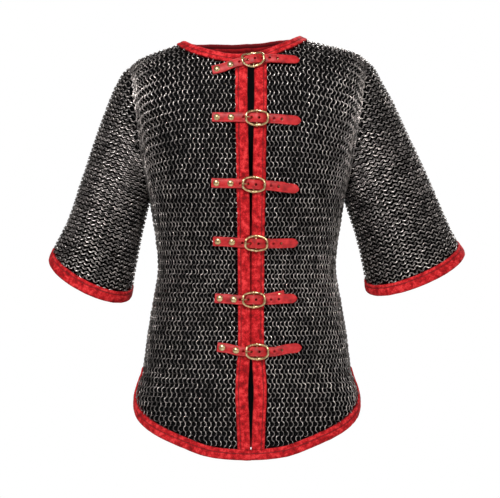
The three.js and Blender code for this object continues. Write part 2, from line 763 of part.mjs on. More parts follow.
// The mail wall grown by the clearance, edges and all
function grownWall({ outer, inner, normals }) {
  const grow = (grid, lift) => {
    const lifted = offset(grid, normals, lift);
    const rows = grid[0].length;
    return lifted.map((column, i) => column.map((point, j) => {
      const moved = point.clone();
      const beside = grid[i === 0 ? 1 : i - 1][j];
      const atSide = i === 0 || i === grid.length - 1;
      if (atSide) moved.addScaledVector(grid[i][j].clone().sub(beside).normalize(), edgeClear);
      if (j === rows - 1) {
        // Past the top edge, square to it and in the wall's own surface
        const up = grid[i][j].clone().sub(grid[i][j - 1]).normalize();
        const edge = grid[Math.min(i + 1, grid.length - 1)][j].clone().sub(grid[Math.max(i - 1, 0)][j]);
        const square = edge.cross(normals[i][j]).normalize();
        if (square.dot(up) < 0) square.negate();
        moved.addScaledVector(square, edgeClear);
      }
      return moved;
    }));
  };
  return toSolid(wallBody(grow(outer, neckClear), grow(inner, -neckClear), false));
}

let neckSolid = toSolid(stripBody(neckStrip(), false));
for (const panel of Object.values(panels)) {
  neckSolid = neckSolid.subtract(grownWall(panel));
  // The corner on the shoulder is also cleared sideways
  const plain = toSolid(wallBody(panel.outer, panel.inner, false));
  for (const shift of [-neckClear, 0, neckClear]) neckSolid = neckSolid.subtract(plain.translate(shift, 0, 0));
}
for (const name of ['right', 'left']) {
  const panel = panels[`mail_front_${name}`];
  const top = panel.outer[0].length - 2;
  const rows = Array.from({ length: top }, (_, j) => [0, j + 1, 1, j + 1]);
  const cells = panelCells(panel, rows);
  const grown = cells.map(({ edge, lap, innerEdge, innerLap, normal, lapNormal }) => {
    const away = edge.clone().sub(lap).normalize();
    const reach = fold + gap;
    return [
      [lap.clone().addScaledVector(lapNormal, reach).addScaledVector(away, -gap),
        edge.clone().addScaledVector(normal, reach).addScaledVector(away, reach)],
      [innerLap.clone().addScaledVector(lapNormal, -reach).addScaledVector(away, -gap),
        innerEdge.clone().addScaledVector(normal, -reach).addScaledVector(away, reach)],
    ];
  });
  neckSolid = neckSolid.subtract(toSolid(stripBody(grown, false)));
}
const neckPieces = neckSolid.decompose().sort((a, b) => b.volume() - a.volume());
addMesh('neck_binding', toGeometry(neckPieces[0]), redSuede);

// Front surface over a place seen from the front, with its outward normal
function frontY(x, z) {
  const side = x < 0 ? sides.right : sides.left;
  if (z <= armpitZ) {
    const row = tableAt(torso, 'down', -z);
    return -row.front * (1 - (Math.abs(x) / row.halfWidth) ** row.power) ** (1 / row.power);
  }
  let lowX = Math.abs(x);
  let y = 0;
  for (let k = 0; k < 6; k += 1) {
    const reach = lowX / armpitX;
    const topZ = tableAt(side.shoulder, 'out', lowX * (1 + side.flare * reach ** 2)).z;
    const height = (z - armpitZ) / (topZ - armpitZ);
    const deep = chest.arm + (chest.front - chest.arm) * (1 - reach ** 3);
    const crown = 0.3 + 0.15 * reach ** 2;
    const bottomY = chest.front * (1 - reach ** torso[0].power) ** (1 / torso[0].power);
    const ratio = Math.min(0.9995, bottomY / deep);
    const lowAxis = crown / (1 - ratio ** chest.power) ** (1 / chest.power);
    const c = height > crown ? (height - crown) / (1 - crown) : (crown - height) / lowAxis;
    y = -deep * (1 - Math.min(c, 0.999) ** chest.power) ** (1 / chest.power);
    lowX = Math.abs(x) / (1 + side.flare * reach ** 2 * height);
  }
  return y;
}

function frontFrame(x, z) {
  const origin = vec(x, frontY(x, z), z);
  const acrossX = vec(x + 1, frontY(x + 1, z), z).sub(origin);
  const upZ = vec(x, frontY(x, z + 1), z + 1).sub(origin);
  return { origin, out: acrossX.cross(upZ).normalize() };
}

// Places on a closure: s along the strap from the buckle's middle, c across it, lift off the mail
function strapAngle(closure, s) {
  const [bx, bz] = closure.buckle;
  const leftTurn = Math.atan2(bz - closure.left[1], bx - closure.left[0]);
  const rightTurn = Math.atan2(closure.tip[1] - bz, closure.tip[0] - bx);
  // Straight through the buckle, then easing towards each end
  const middle = (leftTurn + rightTurn) / 2;
  return lerp(middle, s < 0 ? leftTurn : rightTurn, THREE.MathUtils.smoothstep(Math.abs(s), 18, 55));
}

// A strap is flat across its width, so each place is measured from the frame at its middle line
function closureFrame(closure, s, lift, turn = 0) {
  const angle = strapAngle(closure, s) + turn;
  const x = closure.buckle[0] + s * Math.cos(angle);
  const z = closure.buckle[1] + s * Math.sin(angle);
  const { origin, out } = frontFrame(x, z);
  const across = vec(-Math.sin(angle), 0, Math.cos(angle));
  across.addScaledVector(out, -across.dot(out)).normalize();
  const along = across.clone().cross(out);
  return { origin: origin.addScaledVector(out, lift), along, across, out };
}

function placeOn(closure, s, c, lift, turn = 0) {
  const frame = closureFrame(closure, s, lift, turn);
  return frame.origin.addScaledVector(frame.across, c);
}

// How far the strap's underside stands off the mail: over the binding, over the bar, under the buckle's ends
function strapEnds(closure) {
  const [bx, bz] = closure.buckle;
  const leftEnd = -Math.hypot(bx - closure.left[0], bz - closure.left[1]);
  const tipEnd = Math.hypot(closure.tip[0] - bx, closure.tip[1] - bz);
  const bindingEdge = openingX - edgeX(bz) - edgeBand - bx;
  const secondRivet = leftEnd + rivetFromEnd[1];
  // The strap climbs onto the binding beyond the second rivet, or before it where the rivet is that near
  const near = closure.atNeck || bindingEdge < secondRivet + rivetClear + 1;
  const climbEnd = near ? secondRivet - rivetClear : bindingEdge;
  const climbStart = near ? climbEnd - climb : Math.max(climbEnd - climb, secondRivet + rivetClear);
  return { leftEnd, tipEnd, bindingEdge, climbStart, climbEnd };
}

const overBar = [
  { at: -19, lift: 4.6 },
  { at: -7, lift: 8.4 },
  { at: -1.5, lift: 10.5 },
  { at: 1.5, lift: 10.5 },
  { at: 7.5, lift: 9 },
  { at: 12.5, lift: 7.2 },
  { at: 16, lift: 5.3 },
  { at: 22, lift: 5.4 },
  { at: 40, lift: 6.7 },
  { at: 53, lift: 6.5 },
  { at: 82, lift: 2.4 },
];

function strapLift(closure, s) {
  const { climbStart, climbEnd } = strapEnds(closure);
  const rows = [
    { at: -90, lift: onMail },
    { at: climbStart, lift: onMail },
    { at: climbEnd, lift: onBinding },
    ...overBar,
  ];
  let k = 0;
  while (k < rows.length - 2 && s > rows[k + 1].at) k += 1;
  const t = clamp((s - rows[k].at) / (rows[k + 1].at - rows[k].at), 0, 1);
  return lerp(rows[k].lift, rows[k + 1].lift, t);
}

function strap(closure) {
  const { leftEnd, tipEnd, bindingEdge, climbStart, climbEnd } = strapEnds(closure);
  const stops = [leftEnd, climbStart, climbEnd, ...overBar.map((row) => row.at).filter((s) => s < 60),
    tipEnd - 9, tipEnd - 2.5, tipEnd];
  const halfAt = (s) => {
    const left = tipEnd - s;
    if (left > 8.9) return strapWidth / 2;
    return left > 2 ? strapWidth * 0.34 : strapWidth * 0.1;
  };
  const grid = (raise) => stops.map((s) => [-1, 1].map(
    (edge) => placeOn(closure, s, edge * halfAt(s), strapLift(closure, s) + raise)));
  let solid = toSolid(wallBody(grid(strapThick), grid(0), false));
  const punch = (s, radius) => {
    const frame = closureFrame(closure, s, strapLift(closure, s) + strapThick / 2);
    const drill = new THREE.CylinderGeometry(radius, radius, 9, 6);
    drill.rotateX(Math.PI / 2);
    const turned = new THREE.Matrix4().makeBasis(frame.along, frame.across, frame.out);
    drill.applyMatrix4(turned.setPosition(frame.origin));
    solid = solid.subtract(toSolid(drill));
  };
  holeAt.filter((s) => s < tipEnd - 12).forEach((s) => punch(s, holeRadius));
  rivetFromEnd.forEach((from) => punch(leftEnd + from, rivet.hole));
  addMesh(`${closure.name}_strap`, toGeometry(solid), redLeather);

  rivetFromEnd.forEach((from, k) => {
    const s = leftEnd + from;
    const under = strapLift(closure, s);
    const base = strapThick + gap;
    const foot = (s > bindingEdge - rivet.hole - 1 ? fold + gap : gap) - under;
    const profile = [[0, foot], [rivet.shank, foot], [rivet.shank, base], [rivet.radius, base],
      [rivet.radius * 0.72, base + rivet.height * 0.7], [0, base + rivet.height]];
    const dome = new THREE.LatheGeometry(profile.map(([x, y]) => new THREE.Vector2(x, y)), 8);
    dome.rotateX(Math.PI / 2);
    const frame = closureFrame(closure, s, under);
    addMesh(`${closure.name}_rivet_${k + 1}`, toGeometry(toSolid(dome)), brass, frame);
  });
}

// Centre-bar buckle: a bowed ring with peaked ends, two knobs and a straight bar
function buckleGeometry() {
  const steps = 18;
  const sectionSides = 5;
  const stations = [];
  const ringAt = (turn) => {
    const x = buckle.half * Math.cos(turn) * (1 + 0.06 * Math.abs(Math.cos(turn)) ** 14);
    const y = buckle.tall * Math.sign(Math.sin(turn)) * Math.abs(Math.sin(turn)) ** 0.5;
    return vec(x, y, buckle.rise * (x / buckle.half) ** 2);
  };
  for (let i = 0; i < steps; i += 1) {
    const turn = (2 * Math.PI * i) / steps;
    const here = ringAt(turn);
    const tangent = ringAt(turn + 0.02).sub(ringAt(turn - 0.02)).normalize();
    const side = tangent.clone().cross(vec(0, 0, 1)).normalize();
    const up = side.clone().cross(tangent).normalize();
    stations.push(Array.from({ length: sectionSides }, (_, k) => {
      const roll = (2 * Math.PI * (k + 0.5)) / sectionSides;
      return here.clone().addScaledVector(side, buckle.wire * Math.cos(roll))
        .addScaledVector(up, buckle.wire * Math.sin(roll));
    }));
  }
  const points = stations.flat();
  const faces = [];
  for (let i = 0; i < steps; i += 1) {
    for (let k = 0; k < sectionSides; k += 1) {
      const a = i * sectionSides + k;
      const b = i * sectionSides + ((k + 1) % sectionSides);
      const c = ((i + 1) % steps) * sectionSides + k;
      const d = ((i + 1) % steps) * sectionSides + ((k + 1) % sectionSides);
      faces.push([a, b, d], [a, d, c]);
    }
  }
  let solid = toSolid(closedBody(points, faces));
  solid = solid.add(toSolid(new THREE.CylinderGeometry(buckle.bar, buckle.bar, buckle.tall * 2, 5)));
  for (const end of [-1, 1]) {
    const knob = new THREE.SphereGeometry(2.8, 5, 3);
    knob.translate(0, end * buckle.tall, 0);
    solid = solid.add(toSolid(knob));
  }
  return toGeometry(solid);
}

// Prong: hooks over the bar, comes up through the strap's hole and rests on the buckle's far end
function prongGeometry() {
  const barTop = buckle.bar + gap + prongRadius;
  const route = [
    vec(barTop + 0.15, 0, -0.6), vec(barTop * 0.78, 0, barTop * 0.78), vec(0, 0, barTop + 0.1),
    vec(-3.4, 0, 1.5), vec(-7.2, 0, 0.1), vec(-9.4, 0, 1.2), vec(-10.4, 0, 3.6), vec(-13, 0, 7),
    vec(-buckle.half - 2.6, 0, 12.2),
  ];
  const curve = new THREE.CatmullRomCurve3(route);
  const section = new THREE.Shape();
  for (let k = 0; k < 5; k += 1) {
    const turn = (2 * Math.PI * k) / 5;
    const place = [prongRadius * Math.cos(turn), prongRadius * Math.sin(turn)];
    if (k === 0) section.moveTo(...place);
    else section.lineTo(...place);
  }
  return new THREE.ExtrudeGeometry(section, { steps: 13, bevelEnabled: false, extrudePath: curve });
}

// Leather that holds the buckle: folded round the bar, slotted for the prong, riveted under the strap
function chapeGeometry(closure) {
  const inner = buckle.bar + gap;
  const outer = inner + chape.thick;
  const bar = buckle.barLift;
  const low = [];
  const high = [];
  const add = (s, lowLift, t, highLift) => {
    low.push([s, lowLift]);
    high.push([t, highLift]);
  };
  add(chape.reach, chape.lift, chape.reach, chape.lift + chape.thick);
  add(30, chape.lift, 30, chape.lift + chape.thick);
  add(0, bar - outer, 0, bar - inner);
  for (const degrees of [215, 165, 125, 90]) {
    const turn = THREE.MathUtils.degToRad(degrees);
    const [across, up] = [Math.cos(turn), Math.sin(turn)];
    add(outer * across, bar + outer * up, inner * across, bar + inner * up);
  }
  const returnLift = chape.lift + chape.thick + gap;
  add(6, bar + outer - 1.4, 6, bar + inner - 1.4);
  add(chape.back, returnLift + chape.thick, chape.back, returnLift);
  const turn = THREE.MathUtils.degToRad(closure.turn);
  const stations = [-1, 1].map((edge) => [low, high].map((list) => list.map(
    ([s, lift]) => placeOn(closure, s, edge * chape.half, lift, turn * clamp((s - 4) / 20, 0, 1)))));
  let solid = toSolid(stripBody(stations, false));
  const frame = closureFrame(closure, 0, bar);
  const slot = new THREE.BoxGeometry(13, chape.slot * 2, 11);
  slot.translate(-1.5, 0, 1);
  const turned = new THREE.Matrix4().makeBasis(frame.along, frame.across, frame.out);
  slot.applyMatrix4(turned.setPosition(frame.origin));
  solid = solid.subtract(toSolid(slot));
  return toGeometry(solid);
}

for (const closure of closures) {
  strap(closure);
  const frame = closureFrame(closure, 0, buckle.barLift);
  addMesh(`${closure.name}_buckle`, buckleGeometry(), brass, frame);
  addMesh(`${closure.name}_prong`, toGeometry(toSolid(prongGeometry())), brass, frame);
  addMesh(`${closure.name}_chape`, chapeGeometry(closure), redLeather);
  const pin = new THREE.CylinderGeometry(3.6, 4, 0.6, 7);
  pin.rotateX(Math.PI / 2);
  const turn = THREE.MathUtils.degToRad(closure.turn);
  const seat = placeOn(closure, chape.rivet, 0, chape.lift + chape.thick + gap + 0.3, turn);
  const pinFrame = { ...closureFrame(closure, chape.rivet, 0), origin: seat };
  addMesh(`${closure.name}_chape_rivet`, toGeometry(toSolid(pin)), brass, pinFrame);
}

export default part;
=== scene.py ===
import math

import bmesh
import bpy
import numpy as np
from mathutils import Matrix, Vector, noise


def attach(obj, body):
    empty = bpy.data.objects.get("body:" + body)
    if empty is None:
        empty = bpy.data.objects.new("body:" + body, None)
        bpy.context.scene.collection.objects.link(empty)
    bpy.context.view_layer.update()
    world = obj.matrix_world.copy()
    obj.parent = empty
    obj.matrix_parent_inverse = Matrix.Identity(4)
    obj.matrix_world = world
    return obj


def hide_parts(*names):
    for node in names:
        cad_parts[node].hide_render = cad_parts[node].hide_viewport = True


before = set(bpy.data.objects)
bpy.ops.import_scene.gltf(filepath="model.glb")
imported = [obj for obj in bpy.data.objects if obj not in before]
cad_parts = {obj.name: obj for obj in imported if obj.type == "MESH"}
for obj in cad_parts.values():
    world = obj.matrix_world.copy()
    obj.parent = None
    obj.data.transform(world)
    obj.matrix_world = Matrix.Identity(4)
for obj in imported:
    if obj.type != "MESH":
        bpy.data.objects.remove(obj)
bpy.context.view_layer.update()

# A front-opening mail coat, worn form. Sizes here are in millimetres; the meshes are written in metres.
# Wearer's right is -X, front is -Y, the origin is between the shoulders.
mm = 0.001
lineSteps = 90  # points along a line over the shoulders or round a sleeve
sleeveSteps = 60
solveSteps = 6  # rounds that find a place on the shoulders from where it is seen

coat = {
    "opening": 7.0,  # the front opening lies to the wearer's left of the middle
    "armpitDown": 265.0,
    "armpitOut": 174.0,
    "chestFront": 122.0,
    "chestBack": 118.0,
    "armDepth": 74.0,
    "chestPower": 2.2,
    "crown": 0.3,  # how far up from the armpit to the shoulder the section is deepest
    "armCrown": 0.15,  # added to that at the arm
    "leanFade": 28.0,  # the shoulders' slope fades below the armpit over this
    "sleeveLength": 360.0,
    "cuffTilt": 24.0,
    "foldOver": 2.2,  # from the mail's edge to the outside of its binding
    "edgeBand": 20.0,
    "hemBand": 17.0,
    "cuffBand": 17.0,
    "neckBand": 15.0,
}

# Body sections: down, half width, front depth, back depth, roundness
torso = [
    (265, 174, 122, 118, 2.6),
    (310, 167, 119, 111, 2.5),
    (350, 161, 113, 104, 2.4),
    (395, 158, 109, 101, 2.4),
    (440, 165, 111, 106, 2.4),
    (504, 176, 117, 116, 2.4),
    (575, 186, 123, 123, 2.4),
    (620, 200, 127, 126, 2.8),
    (730, 207, 132, 130, 2.8),
]

# Hem: angle from the side vent in degrees, down
hem = [(0, 578), (3, 607), (7, 628), (12, 645), (23, 668), (34, 687), (48, 706), (59, 718),
       (72, 724), (90, 726.5)]

hemLevel = -700.0  # where a panel's front edge meets the hem

# Slit between the front bindings: down, width
slit = [(0, 11), (90, 12), (185, 8), (272, 4.6), (325, 2.8), (430, 1), (525, 1), (565, 5.5), (607, 9.6),
        (665, 5), (723, 1.2)]

neck = {"x": -9.0, "halfWidth": 103.0, "front": 90.0, "back": 66.0, "power": 2.3,
        "frontSteps": 50, "backSteps": 90}

# Shoulder, outer sleeve and inner sleeve lines: out from the middle, height
sides = {
    "right": {
        "sign": -1,
        "armhole": 205.0,
        "shoulder": [(0, 45), (60, 37), (115, 12), (137, 3.6), (167, -7), (191, -18), (205, -29)],
        "outer": [(205, -29), (221, -42), (234, -64), (247, -94), (263, -137), (292, -223), (320, -305),
                  (341, -347), (352, -373)],
        "inner": [(174, -265), (186, -312), (198, -370), (208, -427), (212, -446)],
    },
    "left": {
        "sign": 1,
        "armhole": 212.0,
        "shoulder": [(0, 45), (55, 39), (106, 17), (137, 9), (167, 2), (196, -7), (212, -18)],
        "outer": [(212, -18), (228, -34), (241, -58), (261, -94), (281, -137), (321, -223), (356, -303),
                  (373, -338), (388, -362)],
        "inner": [(174, -265), (186, -300), (200, -345), (213, -405), (217, -433)],
    },
}


def tableAt(rows, at):
    # a cubic through the rows' values, straight beyond the ends
    last = len(rows) - 1
    k = 0
    while k < last - 1 and at > rows[k + 1][0]:
        k += 1
    low, high = rows[k], rows[k + 1]
    span = high[0] - low[0]
    t = min(max((at - low[0]) / span, 0.0), 1.0)
    beyond = at - min(max(at, rows[0][0]), rows[last][0])
    values = []
    for c in range(1, len(low)):
        slopes = []
        for i in (k, k + 1):
            before, after = rows[max(i - 1, 0)], rows[min(i + 1, last)]
            slopes.append((after[c] - before[c]) / (after[0] - before[0]) * span)
        value = (2 * t**3 - 3 * t**2 + 1) * low[c] + (t**3 - 2 * t**2 + t) * slopes[0]
        value += (3 * t**2 - 2 * t**3) * high[c] + (t**3 - t**2) * slopes[1]
        if beyond:
            value += beyond * slopes[0 if beyond < 0 else 1] / span
        values.append(value)
    return values


def byRun(line):
    # gives a line's points the share of its length that lies before them
    points = np.array(line, float)
    steps = np.hypot(*np.diff(points, axis=0).T)
    run = np.concatenate([[0], np.cumsum(steps)]) / steps.sum()
    return [(r, out, z) for r, (out, z) in zip(run, points)]


def bow(share, power):
    # a rounded outline: 1 in the middle, 0 at both ends
    return np.maximum(0, 1 - np.abs(share) ** power) ** (1 / power)


for side in sides.values():
    side["outer"] = byRun(side["outer"])
    side["inner"] = byRun(side["inner"])
    side["flare"] = side["armhole"] / coat["armpitOut"] - 1


def lowerPoint(side, face, angle, z):
    # body section below the arms; angle 0 at the side seam, a right angle at the middle
    half, front, back, power = tableAt(torso, -z)
    deep = front if face < 0 else back
    across = abs(math.cos(angle)) / half
    along = abs(math.sin(angle)) / deep
    radius = (across**power + along**power) ** (-1 / power)
    return np.array([side["sign"] * radius * math.cos(angle), face * radius * math.sin(angle), z])


def neckDepth(face, x):
    across = (x - neck["x"]) / neck["halfWidth"]
    return neck["front" if face < 0 else "back"] * bow(across, neck["power"])


def yokeSection(face, reach):
    # at a share of the way out to the armpit: how deep the section is, and how far up
    middle = coat["chestFront"] if face < 0 else coat["chestBack"]
    deep = coat["armDepth"] + (middle - coat["armDepth"]) * (1 - reach**3)
    return deep, coat["crown"] + coat["armCrown"] * reach**2


def yokeLine(side, face, angle):
    # from the armpit's level up to the shoulder or the neck's edge
    bottom = lowerPoint(side, face, angle, -coat["armpitDown"])
    reach = min(abs(bottom[0]) / coat["armpitOut"], 1.0)
    deep, crown = yokeSection(face, reach)
    out = abs(bottom[0]) * (1 + side["flare"] * reach**2)
    top = np.array([math.copysign(out, bottom[0]), 0.0, tableAt(side["shoulder"], out)[0]])
    lowAxis = crown / bow(min(0.9995, abs(bottom[1]) / deep), coat["chestPower"])
    end = math.acos(-crown / lowAxis)
    line, before, under = [], None, 0.0
    for i in range(lineSteps + 1):
        c = math.cos(end * i / lineSteps)
        here = bottom + (top - bottom) * (crown + c * (1 - crown if c > 0 else lowAxis))
        here[1] = face * deep * bow(c, coat["chestPower"])
        over = abs(here[1]) - neckDepth(face, here[0])
        if over >= 0:
            if under < 0 and not line:
                line.append(before + (here - before) * under / (under - over))
            line.append(here)
        before, under = here, over
    return np.array(line[::-1])


def yokeLean(line, bottom):
    # slope of a line just above the armpit's level
    rise = alongLine(line, [4.0])[0] - bottom
    return np.clip(rise[1] / max(rise[2], 0.5), -0.9, 0.9)


def leaned(point, lean):
    # carries that slope on below
    below = point[2] + coat["armpitDown"]
    point[1] += below * math.exp(below / coat["leanFade"]) * lean
    return point


def lengths(line):
    return np.concatenate([[0], np.cumsum(np.linalg.norm(np.diff(line, axis=0), axis=1))])


def alongLine(line, places):
    runs = lengths(line)
    return np.stack([np.interp(places, runs, line[:, c]) for c in range(3)], axis=-1)


def edgeX(z):
    return tableAt(slit, max(0.0, -z))[0] / 2 + coat["foldOver"]


def frontEdgeAngle(side, z):
    target = coat["opening"] + side["sign"] * edgeX(z)
    deep = -lowerPoint(side, -1, math.pi / 2, z)[1]
    return math.pi / 2 - math.atan2(side["sign"] * target, deep)


def hemDown(angle):
    return tableAt(hem, min(math.degrees(min(angle, math.pi - angle)), 90))[0] - coat["foldOver"]


def unit(vectors):
    return vectors / np.maximum(np.linalg.norm(vectors, axis=-1, keepdims=True), 1e-9)


# Rings: worked from the pitch measured on the coat
mail = {
    "inside": 9.0,  # clear width of a ring
    "wire": 1.6,
    "rowPitch": 8.3,
    "frontColumns": 31,
    "backColumns": 62,
    "sleevePitch": 7.8,
    "lean": 32.0,  # degrees, left and right in turn
    "sink": 1.3,  # ring centres below the coat's outer surface
    "paintedRelief": 0.62,  # how much a ring's raised side is painted brighter than its deep side: painted highlight and painted shade
    "backingDepth": 4.6,
    "clothThick": 0.9,
    "backingStep": 4,  # half pitches from one of the cloth's points to the next
    "spareRows": 8,  # rows kept for the long lines beside the neck
    "wireFaces": 3,
    "wireFat": 0.57,  # a three-sided wire is drawn a little fatter
    "ringSteps": 9,
    "leanSpread": 0.09,
    "nodSpread": 0.07,
    "placeSpread": 0.22,
}


def surfaceNormals(grid, inside, closed=False):
    # grid[i][j] of points, NaN where there is none
    def diff(axis, wrap):
        before, after = np.roll(grid, 1, axis), np.roll(grid, -1, axis)
        if not wrap:
            np.moveaxis(before, axis, 0)[0] = np.nan
            np.moveaxis(after, axis, 0)[-1] = np.nan
        return np.where(np.isnan(after), grid, after) - np.where(np.isnan(before), grid, before)

    up = diff(1, False)
    normals = unit(np.cross(diff(0, closed), up))
    normals[np.sum(normals * (grid - inside), axis=-1) < 0] *= -1
    return normals, unit(up)


def panelColumns(name):
    armpit = -coat["armpitDown"]
    if name == "back":
        right, left = sides["right"], sides["left"]
        shares = evenShares(lambda t: lowerPoint(right, 1, math.pi * t, armpit), 2 * mail["backColumns"])
        return [(right, 1, lambda z, a=a: a) if a <= math.pi / 2 else (left, 1, lambda z, a=math.pi - a: a)
                for a in math.pi * shares]
    side = sides[name]
    top = frontEdgeAngle(side, armpit)
    shares = evenShares(lambda t: lowerPoint(side, -1, top * (1 - t), armpit), 2 * mail["frontColumns"])
    return [(side, -1, lambda z, t=t: frontEdgeAngle(side, z) * (1 - t)) for t in shares]


def evenShares(pointAt, steps):
    fine = np.linspace(0, 1, 400)
    runs = lengths(np.array([pointAt(t) for t in fine]))
    return np.interp(np.linspace(0, runs[-1], steps + 1), runs, fine)


def panelGrid(name):
    # columns of half a ring's pitch by rows of one; row rowsBelow is the armpit's level
    columns = panelColumns(name)
    armpit = -coat["armpitDown"]
    lines = [yokeLine(side, face, angleAt(armpit)) for side, face, angleAt in columns]
    totals = [lengths(line)[-1] for line in lines]
    atArm = [abs(line[-1][1]) < 0.6 for line in lines]
    shoulderRows = yokeRows()
    armPitches = [total / shoulderRows for total, arm in zip(totals, atArm) if arm]
    rowsBelow = int((torso[-1][0] + armpit) / mail["rowPitch"]) + 1
    grid = np.full((len(columns), rowsBelow + shoulderRows + mail["spareRows"], 3), np.nan)
    for m, (side, face, angleAt) in enumerate(columns):
        lean = yokeLean(lines[m], lowerPoint(side, face, angleAt(armpit), armpit))
        low = -hemDown(angleAt(hemLevel))
        for k in range(rowsBelow):
            z = armpit - k * mail["rowPitch"]
            if z >= low - mail["rowPitch"] * 0.5:
                z = max(z, low)
                grid[m, rowsBelow - k] = leaned(lowerPoint(side, face, angleAt(z), z), lean)
        nearest = armPitches[0 if name != "back" or m < len(columns) / 2 else -1]
        pitch = totals[m] / shoulderRows if atArm[m] else nearest
        for k in range(1, grid.shape[1] - rowsBelow):
            if k * pitch <= totals[m] + 0.01:
                grid[m, rowsBelow + k] = alongLine(lines[m], [k * pitch])[0]
            elif (k - 0.5) * pitch <= totals[m]:
                grid[m, rowsBelow + k] = lines[m][-1]
        if m == len(columns) - 1 or name == "back" and m == 0:
            grid[m, : rowsBelow + 1, 1] = 0
    if name != "back":
        openFront(grid, sides[name])
    inside = grid * np.array([0.45, 0, 1])
    inside[..., 2] = np.minimum(inside[..., 2], -120)
    return grid, inside, rowsBelow


def openFront(points, side, fade=90):
    # above its narrow part the slit widens again, most at the edge and less and less away from it
    narrowDown, narrow = slit[3]
    z = np.minimum(points[..., 2], 0)
    wide = np.interp(-z, *zip(*slit))
    more = np.where(z > -narrowDown, wide - narrow, 0) / 2
    away = np.abs(points[..., 0] - coat["opening"])
    points[..., 0] += side["sign"] * more * np.clip(1 - away / fade, 0, 1)


def yokeRows():
    # an even number of rows from the armpit over the arm to the shoulder's line
    return 2 * round(lengths(yokeLine(sides["right"], -1, 0.0))[-1] / mail["rowPitch"] / 2)


def sleeveLine(side, face, v):
    topOut, topZ = tableAt(side["outer"], v)
    lowOut, lowZ = tableAt(side["inner"], 0.1 * v + 0.9 * v**2.2)
    top = np.array([side["sign"] * topOut, 0, topZ])
    low = np.array([side["sign"] * lowOut, 0, lowZ])
    crown = coat["crown"] + coat["armCrown"] + 0.05 * v
    power = coat["chestPower"] + (2.05 - coat["chestPower"]) * v
    deep = coat["armDepth"] - 8 * v * (1 - v) + 1.5 * v
    along = unit(low - top)
    hang = np.array([side["sign"] * abs(along[2]), 0, -abs(along[0])])
    c = np.cos(np.pi * np.arange(lineSteps + 1) / lineSteps)
    height = crown + c * np.where(c > 0, 1 - crown, crown)
    bulge = bow(c, power)
    line = low + (top - low) * height[:, None]
    line[:, 1] = face * deep * bulge
    return line + hang * (-face * coat["cuffTilt"] * bulge * v * v)[:, None]


def sleeveGrid(side):
    # rings of points: down the front from the top line, up the back
    half = yokeRows()
    grid = []
    for v in np.linspace(0, 1, sleeveSteps + 1):
        faces = [sleeveLine(side, face, v) for face in (-1, 1)]
        front, back = [alongLine(line, np.linspace(0, lengths(line)[-1], half + 1)) for line in faces]
        grid.append(np.concatenate([front, back[::-1][1:-1]]))
    grid = np.array(grid).transpose(1, 0, 2)
    middle = grid.mean(axis=0, keepdims=True)
    return grid, np.broadcast_to(middle, grid.shape)


# Binding paths: the mail's edge, and the line where the binding's lap ends
def bodyPoint(side, face, angle, z):
    bottom = lowerPoint(side, face, angle, -coat["armpitDown"])
    return leaned(lowerPoint(side, face, angle, z), yokeLean(yokeLine(side, face, angle), bottom))


def frontEdgePath(name):
    side = sides[name]
    armpit = -coat["armpitDown"]
    edge, lap = [], []
    lowest = -hemDown(frontEdgeAngle(side, hemLevel)) + coat["hemBand"] * 0.96
    for z in np.arange(lowest, armpit, 5.0):
        angle = frontEdgeAngle(side, z)
        band = coat["edgeBand"] / -lowerPoint(side, -1, math.pi / 2, z)[1]
        edge.append(bodyPoint(side, -1, angle, z))
        lap.append(bodyPoint(side, -1, angle - band, z))
    angle = frontEdgeAngle(side, armpit)
    band = coat["edgeBand"] / -lowerPoint(side, -1, math.pi / 2, armpit)[1]
    for target, turn in ((edge, angle), (lap, angle - band)):
        line = yokeLine(side, -1, turn)
        target.extend(alongLine(line, np.linspace(0, lengths(line)[-1] - coat["neckBand"] - 0.5, 46)))
    edge, lap = np.array(edge), np.array(lap)
    openFront(edge, side)
    openFront(lap, side)
    return edge, lap


def hemPath(name):
    # from the front edge, or from the right vent, round to the side vent
    if name == "back":
        turns = [(sides["right"], a) for a in np.linspace(0, math.pi / 2, 70)]
        turns += [(sides["left"], a) for a in np.linspace(math.pi / 2, 0, 70)[1:]]
        face = 1
    else:
        side = sides[name]
        start = frontEdgeAngle(side, -hemDown(math.pi / 2))
        turns = [(side, a) for a in start * (1 - np.linspace(0, 1, 80) ** 0.9)]
        face = -1
    edge = np.array([bodyPoint(side, face, a, -hemDown(a)) for side, a in turns])
    along = unit(np.gradient(edge, axis=0))
    square = unit(np.cross(along, unit(edge * [1, 1, 0])))
    square[square[:, 2] < 0] *= -1
    lap = []
    for (side, a), point in zip(turns, edge + square * coat["hemBand"]):
        angle = math.atan2(face * point[1], side["sign"] * point[0])
        lap.append(bodyPoint(side, face, max(angle, 0.0), point[2]))
    return edge, np.array(lap)


def yokeAt(x, y):
    # height of the coat's upper surface over a place in plan
    side = sides["right" if x < 0 else "left"]
    lowX, height, topZ = abs(x), 1.0, 0.0
    for _ in range(solveSteps):
        reach = min(lowX / coat["armpitOut"], 1)
        flare = side["flare"] * reach**2
        deep, crown = yokeSection(-1 if y < 0 else 1, reach)
        height = crown + (1 - crown) * bow(min(abs(y) / deep, 0.999), coat["chestPower"])
        topZ = tableAt(side["shoulder"], lowX * (1 + flare))[0]
        lowX = abs(x) / (1 + flare * height)
    return np.array([x, y, -coat["armpitDown"] + (topZ + coat["armpitDown"]) * height])


